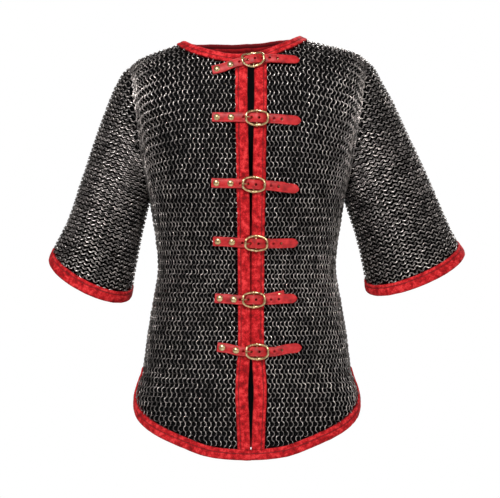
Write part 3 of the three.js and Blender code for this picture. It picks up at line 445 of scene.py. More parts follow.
def neckPath(reachOut):
    # from the right front edge over the right shoulder and round the back to the left front edge
    def shareOf(x):
        return math.acos(min(max((neck["x"] - x) / neck["halfWidth"], -1), 1)) / math.pi

    def atNeck(face, share):
        x = neck["x"] - neck["halfWidth"] * math.cos(math.pi * share)
        return np.array([x, face * neckDepth(face, x), 0.0])

    startRight, startLeft = coat["opening"] - edgeX(0), coat["opening"] + edgeX(0)
    plan = [atNeck(-1, t) for t in np.linspace(shareOf(startRight), 0, neck["frontSteps"])]
    plan += [atNeck(1, t) for t in np.linspace(0, 1, neck["backSteps"])[1:-1]]
    plan += [atNeck(-1, t) for t in np.linspace(1, shareOf(startLeft), neck["frontSteps"])]
    plan = np.array(plan)
    tangent = unit(np.gradient(plan, axis=0))
    edge, lap, normals = [], [], []
    for i, (place, direction) in enumerate(zip(plan, tangent)):
        away = np.array([-direction[1], direction[0], 0.0])
        if away @ (np.array([neck["x"], -10, 0]) - place) > 0:
            away = -away
        if i in (0, len(plan) - 1):
            away = np.array([0.0, -1.0, 0.0])
        here = yokeAt(place[0], place[1])
        slope = (yokeAt(*(place + away * 2)[:2])[2] - here[2]) / 2
        flat = reachOut / math.hypot(1, slope)
        there = yokeAt(*(place + away * flat)[:2])
        normal = np.cross(direction, there - here)
        normals.append(unit(normal if normal[2] > 0 else -normal))
        edge.append(here)
        lap.append(there)
    return np.array(edge), np.array(lap), np.array(normals)


def cuffPath(name):
    grid, middle = sleeveGrid(sides[name])
    share = 1 - coat["cuffBand"] / coat["sleeveLength"]
    shares = np.linspace(0, 1, sleeveSteps + 1)
    lap = [[np.interp(share, shares, line[:, c]) for c in range(3)] for line in grid]
    return grid[:, -1], np.array(lap), middle[0, -1]


print("surfaces ready")


# Materials
def toLinear(hexColour):
    channels = [int(hexColour[i:i + 2], 16) / 255 for i in (0, 2, 4)]
    return [c / 12.92 if c <= 0.04045 else ((c + 0.055) / 1.055) ** 2.4 for c in channels] + [1.0]


def addNode(tree, kind, settings=None, links=None):
    node = tree.nodes.new("ShaderNode" + kind)
    for key, value in (settings or {}).items():
        if key == "stops":  # a colour ramp's places and hex colours
            while len(node.color_ramp.elements) < len(value):
                node.color_ramp.elements.new(0.5)
            for element, (place, colour) in zip(node.color_ramp.elements, value):
                element.position = place
                element.color = toLinear(colour)
        elif isinstance(key, int) or key in node.inputs:
            node.inputs[key].default_value = value
        else:
            setattr(node, key, value)
    plug(node, links or {})
    return node


def plug(node, links):
    # a node given as a source stands for its first output
    for key, source in links.items():
        socket = source.outputs[0] if isinstance(source, bpy.types.Node) else source
        node.id_data.links.new(socket, node.inputs[key])


def newMaterial(name, settings):
    material = bpy.data.materials.new(name)
    material.use_nodes = True
    shader = material.node_tree.nodes["Principled BSDF"]
    for key, value in settings.items():
        shader.inputs[key].default_value = value
    return material, material.node_tree, shader


def blackenedSteel():
    # oiled, blackened mild steel wire, with painted shade making it near black where it lies deep and a painted
    # highlight making it bright where it stands up
    material, tree, shader = newMaterial("blackened_steel_wire", {"Metallic": 1.0})
    tone = addNode(tree, "Attribute", {"attribute_name": "tone"})
    place = addNode(tree, "TexCoord").outputs["Object"]
    patina = addNode(tree, "TexNoise", {"Scale": 110.0, "Detail": 2.0}, {"Vector": place})
    grime = addNode(tree, "TexNoise", {"Scale": 900.0, "Detail": 2.0}, {"Vector": place})
    mixed = addNode(tree, "Math", {"operation": "MULTIPLY_ADD", 1: 0.35},
                    {0: patina, 2: tone.outputs["Fac"]})
    colour = addNode(tree, "ValToRGB",
                     {"stops": [(0.3, "060606"), (0.6, "2a2827"), (0.84, "87817e"), (1.0, "cfc6c1")]},
                     {"Fac": mixed})
    rough = addNode(tree, "MapRange", {"To Min": 0.2, "To Max": 0.38}, {"Value": grime})
    bump = addNode(tree, "Bump", {"Strength": 0.25, "Distance": 0.0002}, {"Height": grime})
    plug(shader, {"Base Color": colour, "Roughness": rough, "Normal": bump})
    return material


def blackCloth():
    # plain-woven black wool behind the rings: soft, no shine, faint threads
    material, tree, shader = newMaterial("black_wool_backing", {
        "Base Color": toLinear("050507"), "Roughness": 0.95, "Sheen Weight": 0.02,
        "Specular IOR Level": 0.15})
    place = addNode(tree, "TexCoord").outputs["Object"]
    threads = addNode(tree, "TexWave", {"Scale": 330.0, "Distortion": 1.5},
                      {"Vector": place})
    bump = addNode(tree, "Bump", {"Strength": 0.3, "Distance": 0.0003}, {"Height": threads.outputs["Fac"]})
    plug(shader, {"Normal": bump})
    return material


def suede(name, dark, middle, light, deep):
    # red suede split: matte nap that lies both ways, so patches a few millimetres wide go darker and
    # lighter; painted shade darkens the sewn groove, the binding's edges and the side turned in
    material, tree, shader = newMaterial(name, {
        "Roughness": 0.85, "Sheen Weight": 0.1, "Sheen Roughness": 0.5, "Sheen Tint": toLinear("ff6a6a"),
        "Specular IOR Level": 0.2})
    place = addNode(tree, "TexCoord").outputs["Object"]
    patches = addNode(tree, "TexNoise", {"Scale": 105.0, "Detail": 5.0, "Roughness": 0.65},
                      {"Vector": place})
    nap = addNode(tree, "TexNoise", {"Scale": 520.0, "Detail": 4.0, "Roughness": 0.7},
                  {"Vector": place})
    mixed = addNode(tree, "Math", {"operation": "MULTIPLY_ADD", 1: 0.45},
                    {0: nap, 2: patches})
    colour = addNode(tree, "ValToRGB", {"stops": [(0.58, dark), (0.72, middle), (0.86, light)]},
                     {"Fac": mixed})
    # painted shade: the colour is mixed towards the deep colour where the attribute says
    shade = addNode(tree, "Attribute", {"attribute_name": "shade"})
    withPaintedShade = addNode(tree, "Mix", {"data_type": "RGBA", 7: toLinear(deep)},
                     {0: shade.outputs["Fac"], 6: colour})
    bump = addNode(tree, "Bump", {"Strength": 0.55, "Distance": 0.0008}, {"Height": mixed})
    plug(shader, {"Base Color": withPaintedShade.outputs[2], "Normal": bump})
    return material


def strapLeather():
    # dyed vegetable-tanned leather: fine pebbled grain about 0.8 mm across, a low sheen
    material, tree, shader = newMaterial("red_strap_leather", {"Roughness": 0.5, "Specular IOR Level": 0.4})
    place = addNode(tree, "TexCoord").outputs["Object"]
    grain = addNode(tree, "TexVoronoi", {"Scale": 1100.0}, {"Vector": place})
    mottle = addNode(tree, "TexNoise", {"Scale": 90.0, "Detail": 4.0}, {"Vector": place})
    colour = addNode(tree, "ValToRGB", {"stops": [(0.3, "860a0f"), (0.5, "b4151a"), (0.72, "cc2c2e")]},
                     {"Fac": mottle})
    bump = addNode(tree, "Bump", {"Strength": 0.3, "Distance": 0.0003}, {"Height": grain})
    plug(shader, {"Base Color": colour, "Normal": bump})
    return material


def castBrass():
    # cast and tumbled brass: pale yellow with faint tarnish in the hollows
    material, tree, shader = newMaterial("cast_brass", {"Metallic": 1.0})
    place = addNode(tree, "TexCoord").outputs["Object"]
    tarnish = addNode(tree, "TexNoise", {"Scale": 260.0, "Detail": 4.0}, {"Vector": place})
    colour = addNode(tree, "ValToRGB", {"stops": [(0.25, "9c7c50"), (0.5, "d2b684"), (0.8, "eadbb6")]},
                     {"Fac": tarnish})
    rough = addNode(tree, "MapRange", {"To Min": 0.18, "To Max": 0.42}, {"Value": tarnish})
    plug(shader, {"Base Color": colour, "Roughness": rough})
    return material


def waxedThread():
    # waxed linen thread, a darker red than the leather it pulls into
    material, tree, shader = newMaterial("waxed_linen_thread", {"Roughness": 0.6})
    place = addNode(tree, "TexCoord").outputs["Object"]
    twist = addNode(tree, "TexNoise", {"Scale": 1500.0}, {"Vector": place})
    colour = addNode(tree, "ValToRGB", {"stops": [(0.3, "4a0408"), (0.7, "6e0a0e")]},
                     {"Fac": twist})
    plug(shader, {"Base Color": colour})
    return material


steelWire = blackenedSteel()
woolCloth = blackCloth()
bindingSuede = suede("red_suede_binding", "7a060c", "b41018", "e0383a", "5c050b")
# a darker copy of the binding suede: its darker colours are painted shade for the inside of the neck
neckFacingPaintedShade = suede("red_suede_facing_painted_shade", "650409", "8e0911", "a8141b", "5c050b")
strapHide = strapLeather()
brassCast = castBrass()
thread = waxedThread()


# Mesh helpers
def newMesh(name, bm):
    mesh = bpy.data.meshes.new(name)
    bm.to_mesh(mesh)
    bm.free()
    return mesh


def newObject(name, data):
    made = bpy.data.objects.new(name, data)
    bpy.context.scene.collection.objects.link(made)
    return made


def newPiece(name, bm, material):
    mesh = newMesh(name, bm)
    mesh.shade_smooth()
    mesh.materials.append(material)
    piece = newObject(name, mesh)
    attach(piece, "root")
    return piece


def newModifier(piece, name, kind, settings):
    modifier = piece.modifiers.new(name, kind)
    for key, value in settings.items():
        setattr(modifier, key, value)


def template(bm):
    bm.verts.ensure_lookup_table()
    points = np.array([v.co[:] for v in bm.verts])
    faces = [[v.index for v in f.verts] for f in bm.faces]
    bm.free()
    return points, faces


def scatter(name, shape, origins, alongs, acrosses, ups, material, tonesAndPaintedLight):
    # one joined mesh: a copy of the shape at every place
    points, faces = shape
    count = len(origins)
    placed = origins[:, None] + points[None, :, 0:1] * alongs[:, None]
    placed = placed + points[None, :, 1:2] * acrosses[:, None] + points[None, :, 2:3] * ups[:, None]
    shift = (np.arange(count) * len(points)).tolist()
    allFaces = [[i + s for i in face] for s in shift for face in faces]
    mesh = bpy.data.meshes.new(name)
    mesh.from_pydata((placed.reshape(-1, 3) * mm).tolist(), [], allFaces)
    mesh.shade_smooth()
    tone = mesh.attributes.new("tone", "FLOAT", "POINT")
    tone.data.foreach_set("value", np.broadcast_to(tonesAndPaintedLight, (count, len(points))).astype(np.float32).ravel())
    mesh.materials.append(material)
    piece = newObject(name, mesh)
    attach(piece, "root")
    return piece


def sweep(bm, loops, closed=False, paintedShades=None):
    # extrudes the first loop of points through all the others; painted shade values go with the loop's points
    layer = bm.verts.layers.float.new("shade") if paintedShades else None
    first = [bm.verts.new(Vector(p) * mm) for p in loops[0]]
    start = [bm.edges.new(pair) for pair in zip(first, first[1:] + first[:1])]
    verts, edges = first, start
    if not closed:
        bm.faces.new(first)
    for loop in loops[1:]:
        made = bmesh.ops.extrude_edge_only(bm, edges=edges)["geom"]
        fresh = {g for g in made if isinstance(g, bmesh.types.BMVert)}
        verts = [next(e.other_vert(v) for e in v.link_edges if e.other_vert(v) in fresh) for v in verts]
        edges = [g for g in made if isinstance(g, bmesh.types.BMEdge) and set(g.verts) <= fresh]
        for i, (v, p) in enumerate(zip(verts, loop)):
            v.co = Vector(p) * mm
            if paintedShades:
                v[layer] = paintedShades[i]
    if paintedShades:
        for v, value in zip(first, paintedShades):
            v[layer] = value
    if closed:
        bmesh.ops.bridge_loops(bm, edges=edges + start)
    else:
        bm.faces.new(verts)
    bmesh.ops.recalc_face_normals(bm, faces=bm.faces[:])


# Rings
def ringShape():
    bm = bmesh.new()
    middle = (mail["inside"] + mail["wire"]) / 2
    turned = Matrix.Translation((middle, 0, 0)) @ Matrix.Rotation(math.pi / 2, 4, "X")
    bmesh.ops.create_circle(bm, segments=mail["wireFaces"], radius=mail["wire"] * mail["wireFat"],
                            matrix=turned)
    bmesh.ops.spin(bm, geom=bm.edges[:], cent=(0, 0, 0), axis=(0, 0, 1), angle=2 * math.pi,
                   steps=mail["ringSteps"], use_merge=True)
    bmesh.ops.recalc_face_normals(bm, faces=bm.faces[:])
    return template(bm)


ringTemplate = ringShape()
chance = np.random.default_rng(11)


def layRings(name, centres, rowDirections, normals, signs):
    count = len(centres)
    lean = np.radians(mail["lean"]) * signs + chance.normal(0, mail["leanSpread"], count)
    nod = chance.normal(0, mail["nodSpread"], count)
    down = unit(np.cross(normals, rowDirections))
    row = unit(np.cross(down, normals))
    x = unit(row * np.cos(lean)[:, None] + normals * np.sin(lean)[:, None])
    y = unit(down + normals * nod[:, None])
    z = np.cross(x, y)
    places = centres - normals * mail["sink"] + chance.normal(0, mail["placeSpread"], (count, 3))
    # how far each point of a ring stands up from its middle: the raised side gets a painted highlight and the
    # deep side painted shade
    heights = np.stack([(axis * normals).sum(axis=1) for axis in (x, y, z)], axis=1)
    stands = heights @ ringTemplate[0].T
    tonesAndPaintedLight = mail["paintedRelief"] * np.clip(0.5 + stands / mail["inside"] * 1.8, 0, 1)
    tonesAndPaintedLight = tonesAndPaintedLight + (0.9 - mail["paintedRelief"]) * chance.uniform(0, 1, count)[:, None]
    return scatter(name, ringTemplate, places, x, y, z, steelWire, tonesAndPaintedLight)


def clearOf(points, paths):
    keep = np.ones(len(points), bool)
    for path, reach in paths:
        for i in range(0, len(points), 2000):
            block = points[i:i + 2000]
            gaps = np.linalg.norm(block[:, None] - path[None, ::2], axis=-1).min(axis=1)
            keep[i:i + 2000] &= gaps > reach
    return keep


neckEdge, neckLap = neckPath(coat["neckBand"])[:2]
hemPaths = {name: hemPath(name) for name in ("right", "left", "back")}
frontPaths = {name: frontEdgePath(name) for name in ("right", "left")}
cuffPaths = {name: cuffPath(name) for name in ("right", "left")}
# the edges whose bindings hide a panel's rings, and how far
covered = {name: [(path[0], coat["hemBand"]), (neckEdge, coat["neckBand"])]
           for name, path in hemPaths.items()}
for name, path in frontPaths.items():
    covered[name].append((path[0], coat["edgeBand"]))


def backingPiece(name, grid, normals, closed):
    # the cloth's own grid of points, set under the rings
    bm = bmesh.new()
    columns, rows = grid.shape[:2]
    made = {}
    stations = list(range(0, columns, mail["backingStep"])) + ([0] if closed else [])
    if not closed and stations[-1] != columns - 1:
        stations.append(columns - 1)
    for i in set(stations):
        for j in range(rows):
            if not np.isnan(grid[i, j, 0]):
                made[i, j] = bm.verts.new(Vector((grid[i, j] - normals[i, j] * mail["backingDepth"]) * mm))
    for a, b in zip(stations, stations[1:]):
        for j in range(rows - 1):
            corners = [made.get(key) for key in ((a, j), (b, j), (b, j + 1), (a, j + 1))]
            present = [v for v in corners if v is not None]
            if len(present) >= 3:
                bm.faces.new(present)
    bmesh.ops.remove_doubles(bm, verts=bm.verts[:], dist=1e-5)
    bmesh.ops.recalc_face_normals(bm, faces=bm.faces[:])
    piece = newPiece(name, bm, woolCloth)
    newModifier(piece, "cloth", "SOLIDIFY", {"thickness": mail["clothThick"] * mm, "offset": 0})
    return piece


backings = {}


def dressPanel(name):
    grid, inside, rowsBelow = panelGrid(name)
    normals, up = surfaceNormals(grid, inside)
    m, k = np.meshgrid(np.arange(grid.shape[0]), np.arange(grid.shape[1]), indexing="ij")
    row = k - rowsBelow
    wanted = ((m + row) % 2 == 0) & ~np.isnan(grid[..., 0])
    if name == "back":
        wanted &= (m > 0) & (m < grid.shape[0] - 1) & (row < yokeRows())
    centres, outward, upward = grid[wanted], normals[wanted], up[wanted]
    signs = np.where(row[wanted] % 2 == 0, 1, -1)
    keep = clearOf(centres, covered[name])
    centres, outward, upward, signs = centres[keep], outward[keep], upward[keep], signs[keep]
    rowDirections = unit(np.cross(upward, outward))
    backings[name] = backingPiece("backing_" + name, grid, normals, False)
    shares = [np.arange(len(centres))]
    labels = ["rings_" + name]
    if name == "back":
        shares = np.array_split(np.argsort(centres[:, 0], kind="stable"), 2)
        labels = ["rings_back_1", "rings_back_2"]
    [layRings(label, centres[share], rowDirections[share], outward[share], signs[share])
                        for label, share in zip(labels, shares)]
    print(name, "rings", len(centres))
    return len(centres)


def dressSleeve(name):
    grid, middle = sleeveGrid(sides[name])
    normals = surfaceNormals(grid, middle, closed=True)[0]
    axis = unit(middle[0, -1] - middle[0, 0])
    start = grid[0, 0] @ axis
    half = mail["sleevePitch"] / 2
    centres, outward, signs = [], [], []
    for r, (line, lineNormals) in enumerate(zip(grid, normals)):
        reach = line @ axis
        first = math.ceil((reach[0] - start) / half + (1.0 if r % 2 == 0 else 0.4))
        last = math.floor((reach[-1] - start) / half)
        for j in range(first, last + 1):
            if (j + r) % 2:
                continue
            at = start + j * half
            centres.append([np.interp(at, reach, line[:, c]) for c in range(3)])
            outward.append([np.interp(at, reach, lineNormals[:, c]) for c in range(3)])
            signs.append(1 if r % 2 == 0 else -1)
    centres, outward, signs = np.array(centres), unit(np.array(outward)), np.array(signs)
    keep = clearOf(centres, [(cuffPaths[name][0], coat["cuffBand"])])
    rowDirections = np.broadcast_to(axis, centres.shape)
    layRings("rings_sleeve_" + name, centres[keep], rowDirections[keep],
                                             outward[keep], signs[keep])
    spaced = slice(None, None, mail["backingStep"])
    backings["sleeve_" + name] = backingPiece("backing_sleeve_" + name, grid[:, spaced], normals[:, spaced], True)
    print("sleeve", name, "rings", keep.sum())
    return keep.sum()


ringCount = sum(dressPanel(name) for name in ("right", "left", "back"))
ringCount += sum(dressSleeve(name) for name in ("right", "left"))
print("rings laid:", ringCount)


# Suede bindings, folded over the mail's edge and sewn through
binding = {
    "lift": 3.5,  # outer face above the mail's surface
    "inside": 5.3,  # inner face below it
    "pucker": 0.5,  # height of the small wrinkles
    "stitch": 5.0,
    "stitchGap": 1.6,
    "threadWidth": 0.9,
    "threadSunk": 0.75,
    "wobble": 0.35,  # how far the edges wander in and out
}

# how much painted shade each point of a binding's outline gets: none on its outer face but in the sewn groove,
# more where the lap meets the mail and where it turns under the edge, and full painted shade on the face turned
# in
bandPaintedShades = [0.75, 0.45, 0.1, 0, 0, 0.4, 0.8, 0.4, 0, 0, 0, 0.1, 0.5, 0.9, 1, 1, 1, 1, 1]


def bandProfile(width, groove):
    # outline across a binding, from where its lap ends to past the mail's edge and back inside
    lift, inside, fold = binding["lift"], binding["inside"], coat["foldOver"]
    outer = [(0.2, -0.6), (-0.1, 1.2), (0.4, lift - 0.9), (1.6, lift - 0.2), (groove - 1.8, lift)]
    sewn = [(groove - 0.7, lift - 0.35), (groove, lift - 0.9), (groove + 0.7, lift - 0.35)]
    edge = [(groove + 1.8, lift), ((groove + width) / 2 + 1, lift + 0.15), (width - 1.0, lift - 0.2),
            (width + 1.2, lift - 1.3), (width + fold, 0.4), (width + fold + 0.1, -1.8)]
    inner = [(width + 1.4, 1 - inside), (width - 0.8, 0.1 - inside), (width / 2, -inside),
             (1.4, 0.1 - inside), (0.2, 1.0 - inside)]
    return outer + sewn + edge + inner


def bandLoops(edge, lap, normals, width, groove, seed):
    profile = bandProfile(width, groove)
    loops = []
    for start, end, normal, run in zip(lap, edge, normals, lengths(edge)):
        toEdge = unit(end - start)
        squeeze = min(1, np.linalg.norm(end - start) / width)
        wander = toEdge * binding["wobble"] * noise.noise(Vector((run / 14, seed, 3)))
        loop = []
        for t, h in profile:
            base = start + (end - start) * min(t / width, 1) + toEdge * max(t - width, 0) * squeeze
            rough = noise.noise(Vector((run / 9, t / 7, seed)))
            rough += 0.5 * noise.noise(Vector((run / 3.5, t / 9, seed + 7)))
            loop.append(base + normal * (h + (binding["pucker"] * rough if h > 0 else 0)) + wander)
        loops.append(loop)
    return loops


def bandNormals(edge, lap, insideOf, closed=False):
    along = unit(np.roll(edge, -1, 0) - np.roll(edge, 1, 0) if closed else np.gradient(edge, axis=0))
    normals = unit(np.cross(along, edge - lap))
    normals[np.sum(normals * (edge - insideOf), axis=-1) < 0] *= -1
    return normals


def stitchLine(name, path, normals):
    # short sunk stitches along a path
    pitch = binding["stitch"] + binding["stitchGap"]
    run = lengths(path)
    places = np.arange(pitch / 2, run[-1] - pitch / 4, pitch)
    along = unit(alongLine(path, places + 1) - alongLine(path, places - 1))
    ups = unit(np.stack([np.interp(places, run, normals[:, c]) for c in range(3)], axis=-1))
    across = unit(np.cross(ups, along))
    centres = alongLine(path, places) + ups * (binding["lift"] - binding["threadSunk"])
    slant = along * math.cos(0.12) + across * math.sin(0.12)
    return scatter(name, stitchTemplate, centres, slant, across, ups, thread, 0.5)


def stitchShape():
    bm = bmesh.new()
    bmesh.ops.create_uvsphere(bm, u_segments=6, v_segments=4, radius=1.0)
    bmesh.ops.rotate(bm, verts=bm.verts[:], cent=(0, 0, 0), matrix=Matrix.Rotation(math.pi / 2, 3, "Y"))
    bmesh.ops.scale(bm, vec=(binding["stitch"] / 2, binding["threadWidth"] / 2, binding["threadWidth"] / 2),
                    verts=bm.verts[:])
    return template(bm)


stitchTemplate = stitchShape()


def bindEdge(name, node, edge, lap, normals, width, groove, seed, closed=False):
    bm = bmesh.new()
    sweep(bm, bandLoops(edge, lap, normals, width, groove, seed), closed, bandPaintedShades)
    piece = newPiece(name, bm, bindingSuede)
    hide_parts(node)
    middle = lap + (edge - lap) * groove / width
    if closed:
        middle, normals = (np.concatenate([line, line[:1]]) for line in (middle, normals))
    stitches = stitchLine("stitches_" + name, middle, normals)


def pathPair(edge, lap, step, closed=False):
    # both lines of a band sampled at the same shares of its length
    if closed:
        edge, lap = (np.concatenate([line, line[:1]]) for line in (edge, lap))
    run = lengths(edge)
    shares = np.linspace(0, 1, max(int(run[-1] / step), 2) + 1)
    edge = alongLine(edge, shares * run[-1])
    lap = np.stack([np.interp(shares, run / run[-1], lap[:, c]) for c in range(3)], axis=-1)
    return (edge[:-1], lap[:-1]) if closed else (edge, lap)


for name, seed in (("right", 1.0), ("left", 5.0)):
    edge, lap = pathPair(*frontPaths[name], 2.6)
    normals = bandNormals(edge, lap, edge * [0.4, 0, 1])
    bindEdge("front_binding_" + name, "edge_binding_" + name, edge, lap, normals, coat["edgeBand"],
             5.5, seed)

for name, seed in (("right", 11.0), ("left", 15.0), ("back", 19.0)):
    edge, lap = pathPair(*hemPaths[name], 2.8)
    normals = bandNormals(edge, lap, edge * [0.3, 0, 1])
    if name != "back":
        # the band runs on past the mail until both fronts meet, so no light shows between them
        edge[0, 0] = lap[0, 0] = coat["opening"] - sides[name]["sign"] * 0.05
    node = "hem_binding_back" if name == "back" else "hem_binding_front_" + name
    bindEdge(node + "_suede", node, edge, lap, normals, coat["hemBand"], 7.5, seed)

for name, seed in (("right", 23.0), ("left", 27.0)):
    edge, lap = pathPair(*cuffPaths[name][:2], 2.6, closed=True)
    normals = bandNormals(edge, lap, cuffPaths[name][2], closed=True)
    node = "cuff_binding_" + name
    bindEdge(node + "_suede", node, edge, lap, normals, coat["cuffBand"], 5.5, seed, closed=True)

edge, lap = pathPair(neckEdge, neckLap, 2.4)
normals = bandNormals(edge, lap, np.array([neck["x"], 0.0, -160.0]))
bindEdge("neck_binding_suede", "neck_binding", edge, lap, normals, coat["neckBand"], 7.0, 31.0)
print("bindings sewn")


# Facing inside the back of the neck
facing = {"reach": 34.0, "rows": 7, "under": 1.6, "thick": 1.2}


def backFacing():
    edge, lap, normals = neckPath(facing["reach"])
    use = edge[:, 1] > -20
    edge, lap, normals = edge[use], lap[use], normals[use]
    bm = bmesh.new()
    rows = []
    for share in np.linspace(0.1, 1, facing["rows"]):
        # follows the coat's inside, so each row is found on the surface again
        row = []
        for a, b, n in zip(edge, lap, normals):
            place = a + (b - a) * share
            point = yokeAt(place[0], place[1])
            row.append(bm.verts.new(Vector(point - n * (binding["inside"] + facing["under"])) * mm))
        rows.append(row)
    for low, high in zip(rows, rows[1:]):
        for i in range(len(low) - 1):
            bm.faces.new((low[i], low[i + 1], high[i + 1], high[i]))
    bmesh.ops.recalc_face_normals(bm, faces=bm.faces[:])
    piece = newPiece("neck_facing", bm, neckFacingPaintedShade)
    newModifier(piece, "leather", "SOLIDIFY", {"thickness": facing["thick"] * mm, "offset": 0})


backFacing()


# Straps, buckles and rivets
# left end, buckle's middle and tip of each strap as seen from the front, and how far the buckle's
# own leather is turned, in degrees
closures = [{"name": f"closure_{number}", "left": left, "buckle": middle, "tip": tip, "turn": turn}
            for number, (left, middle, tip, turn) in enumerate([
                ((-60.5, -45.5), (10.3, -29), (91.5, -26.7), 1),
                ((-60.5, -127.8), (17.6, -129.9), (93.5, -134.6), 1),
                ((-61.4, -242.5), (12, -245.6), (90.2, -253.5), 2),
                ((-58.8, -344), (15.9, -347.2), (87.8, -346.8), 0),
                ((-55.5, -444.4), (11.9, -447.5), (86.5, -444.9), 8),
                ((-51.3, -529.5), (17.6, -537.9), (94.4, -530.6), 0)], 1)]

strap = {
    "width": 17.0,
    "thick": 2.5,
    "holes": [-23.5, -9.7, 3.8, 17, 29.5, 42.5],  # from the buckle's middle
    "hole": 2.3,
    "rivets": [8.5, 33],  # from the left end
    "rivetClear": 6.2,
    "climb": 8.0,
    "onMail": 2.0,  # how far its underside stands off the mail, there and on the binding
    "onBinding": 3.8,
    # the same along the strap from the buckle's middle
    "overBar": [(-19, 4.6), (-7, 8.4), (-1.5, 10.5), (1.5, 10.5), (7.5, 9), (12.5, 7.2), (16, 5.3),
                (22, 5.4), (40, 6.7), (53, 6.5), (82, 2.4)],
    "station": 2.0,
    "tip": 11.0,  # length of the rounded tongue
    "straight": 18.0,  # half the length that lies true with the buckle, and what it takes to turn away
    "bend": 37.0,
    "softEdge": 0.25,
}
buckle = {
    "half": 18.0,  # from the bar to the outside of its sides
    "tall": 12.4,
    "rise": 7.0,  # how far the sides stand above the bar
    "wire": 2.0,
    "corners": 0.5,  # lower is squarer
    "bar": 1.4,
    "barLift": 6.6,
    "knob": 2.7,
    "steps": 72,
}
# a rivet's outline: out from its middle, up
rivet = {"profile": [(0.0, 3.0), (1.7, 2.8), (3.4, 2.25), (4.8, 1.4), (5.6, 0.6), (5.8, 0.15), (5.4, 0.0),
                     (0.0, 0.0)], "steps": 28}
prong = {"radius": 1.25, "stations": 40, "sides": 12}
chape = {"thick": 1.6, "lift": 3.3, "rivet": 46.0, "rivetHead": (4.0, 4.0, 0.6), "softEdge": 0.4}


def frontY(x, z):
    side = sides["right" if x < 0 else "left"]
    if z <= -coat["armpitDown"]:
        half, front, _, power = tableAt(torso, -z)
        return -front * bow(x / half, power)
    lowX, y = abs(x), 0.0
    for _ in range(solveSteps):
        reach = lowX / coat["armpitOut"]
        flare = side["flare"] * reach**2
        topZ = tableAt(side["shoulder"], lowX * (1 + flare))[0]
        height = (z + coat["armpitDown"]) / (topZ + coat["armpitDown"])
        deep, crown = yokeSection(-1, reach)
        bottomY = coat["chestFront"] * bow(reach, torso[0][4])
        lowAxis = crown / bow(min(0.9995, bottomY / deep), coat["chestPower"])
        c = (height - crown) / (1 - crown) if height > crown else (crown - height) / lowAxis
        y = -deep * bow(min(c, 0.999), coat["chestPower"])
        lowX = abs(x) / (1 + flare * height)
    return y


def closureFrame(closure, s, lift, turn=0.0):
    # a place on a closure: s along the strap from the buckle's middle, lift off the mail
    bx, bz = closure["buckle"]
    leftTurn = math.atan2(bz - closure["left"][1], bx - closure["left"][0])
    rightTurn = math.atan2(closure["tip"][1] - bz, closure["tip"][0] - bx)
    t = min(max((abs(s) - strap["straight"]) / strap["bend"], 0), 1)
    t = t * t * (3 - 2 * t)
    middle = (leftTurn + rightTurn) / 2
    angle = middle + ((leftTurn if s < 0 else rightTurn) - middle) * t + turn
    x, z = bx + s * math.cos(angle), bz + s * math.sin(angle)
    origin = np.array([x, frontY(x, z), z])
    acrossX = np.array([x + 1, frontY(x + 1, z), z]) - origin
    upZ = np.array([x, frontY(x, z + 1), z + 1]) - origin
    out = unit(np.cross(acrossX, upZ))
    across = np.array([-math.sin(angle), 0, math.cos(angle)])
    across = unit(across - out * (across @ out))
    along = np.cross(across, out)
    return origin + out * lift, along, across, out


def strapEnds(closure):
    bx, bz = closure["buckle"]
    leftEnd = -math.hypot(bx - closure["left"][0], bz - closure["left"][1])
    tipEnd = math.hypot(closure["tip"][0] - bx, closure["tip"][1] - bz)
    bindingEdge = coat["opening"] - edgeX(bz) - coat["edgeBand"] - bx
    secondRivet = leftEnd + strap["rivets"][1]
    # it climbs before its rivets at the neck, and wherever the binding starts beside them
    near = closure is closures[0] or bindingEdge < secondRivet + strap["rivetClear"] + 1
    climbEnd = secondRivet - strap["rivetClear"] if near else bindingEdge
    climbStart = climbEnd - strap["climb"]
    if not near:
        climbStart = max(climbStart, secondRivet + strap["rivetClear"])
    return leftEnd, tipEnd, climbStart, climbEnd


def strapLift(closure, s):
    climbStart, climbEnd = strapEnds(closure)[2:]
    rows = [(-90, strap["onMail"]), (climbStart, strap["onMail"]), (climbEnd, strap["onBinding"])]
    return float(np.interp(s, *zip(*rows, *strap["overBar"])))


def smoothLift(closure, s):
    return sum(strapLift(closure, s + d) * w for d, w in ((-2.4, 0.25), (0, 0.5), (2.4, 0.25)))


def strapLoop(half, thick):
    # outline of the strap: creased beside both edges, a little crowned between
    edge = min(2.4, half * 0.3)
    top = [(out * edge - half, high * thick) for out, high in
           ((0, 0.35), (0.15, 0.8), (0.4, 1), (0.85, 0.98), (1, 0.9), (1.2, 1))]
    under = [(half - 0.3, 0), (0, 0), (0.3 - half, 0)]
    return top + [(0, thick * 1.03)] + [(-c, h) for c, h in top[::-1]] + under


def placeMatrix(spot):
    origin, along, across, out = spot
    place = Matrix((along, across, out)).transposed().to_4x4()
    place.translation = Vector(origin) * mm
    return place


def brassPiece(closure, part, bm, spot):
    bmesh.ops.transform(bm, matrix=placeMatrix(spot), verts=bm.verts[:])
    piece = newPiece(f"{closure['name']}_{part}_brass", bm, brassCast)
    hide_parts(f"{closure['name']}_{part}")


def softenEdges(piece, width, segments, angle):
    newModifier(piece, "edges", "BEVEL", {"width": width * mm, "segments": segments,
                                          "limit_method": "ANGLE", "angle_limit": math.radians(angle)})


def cutHoles(piece, spots, radius):
    # punches round holes with one joined cutter
    bm = bmesh.new()
    for spot in spots:
        bmesh.ops.create_cone(bm, cap_ends=True, segments=20, radius1=radius * mm, radius2=radius * mm,
                              depth=12 * mm, matrix=placeMatrix(spot))
    punch = newObject("punch", newMesh("punch", bm))
    newModifier(piece, "holes", "BOOLEAN", {"object": punch, "operation": "DIFFERENCE", "solver": "EXACT"})
    bpy.context.view_layer.update()
    uncut = piece.data
    piece.data = bpy.data.meshes.new_from_object(piece.evaluated_get(bpy.context.evaluated_depsgraph_get()))
    piece.modifiers.clear()
    bpy.data.meshes.remove(uncut)
    bpy.data.objects.remove(punch)


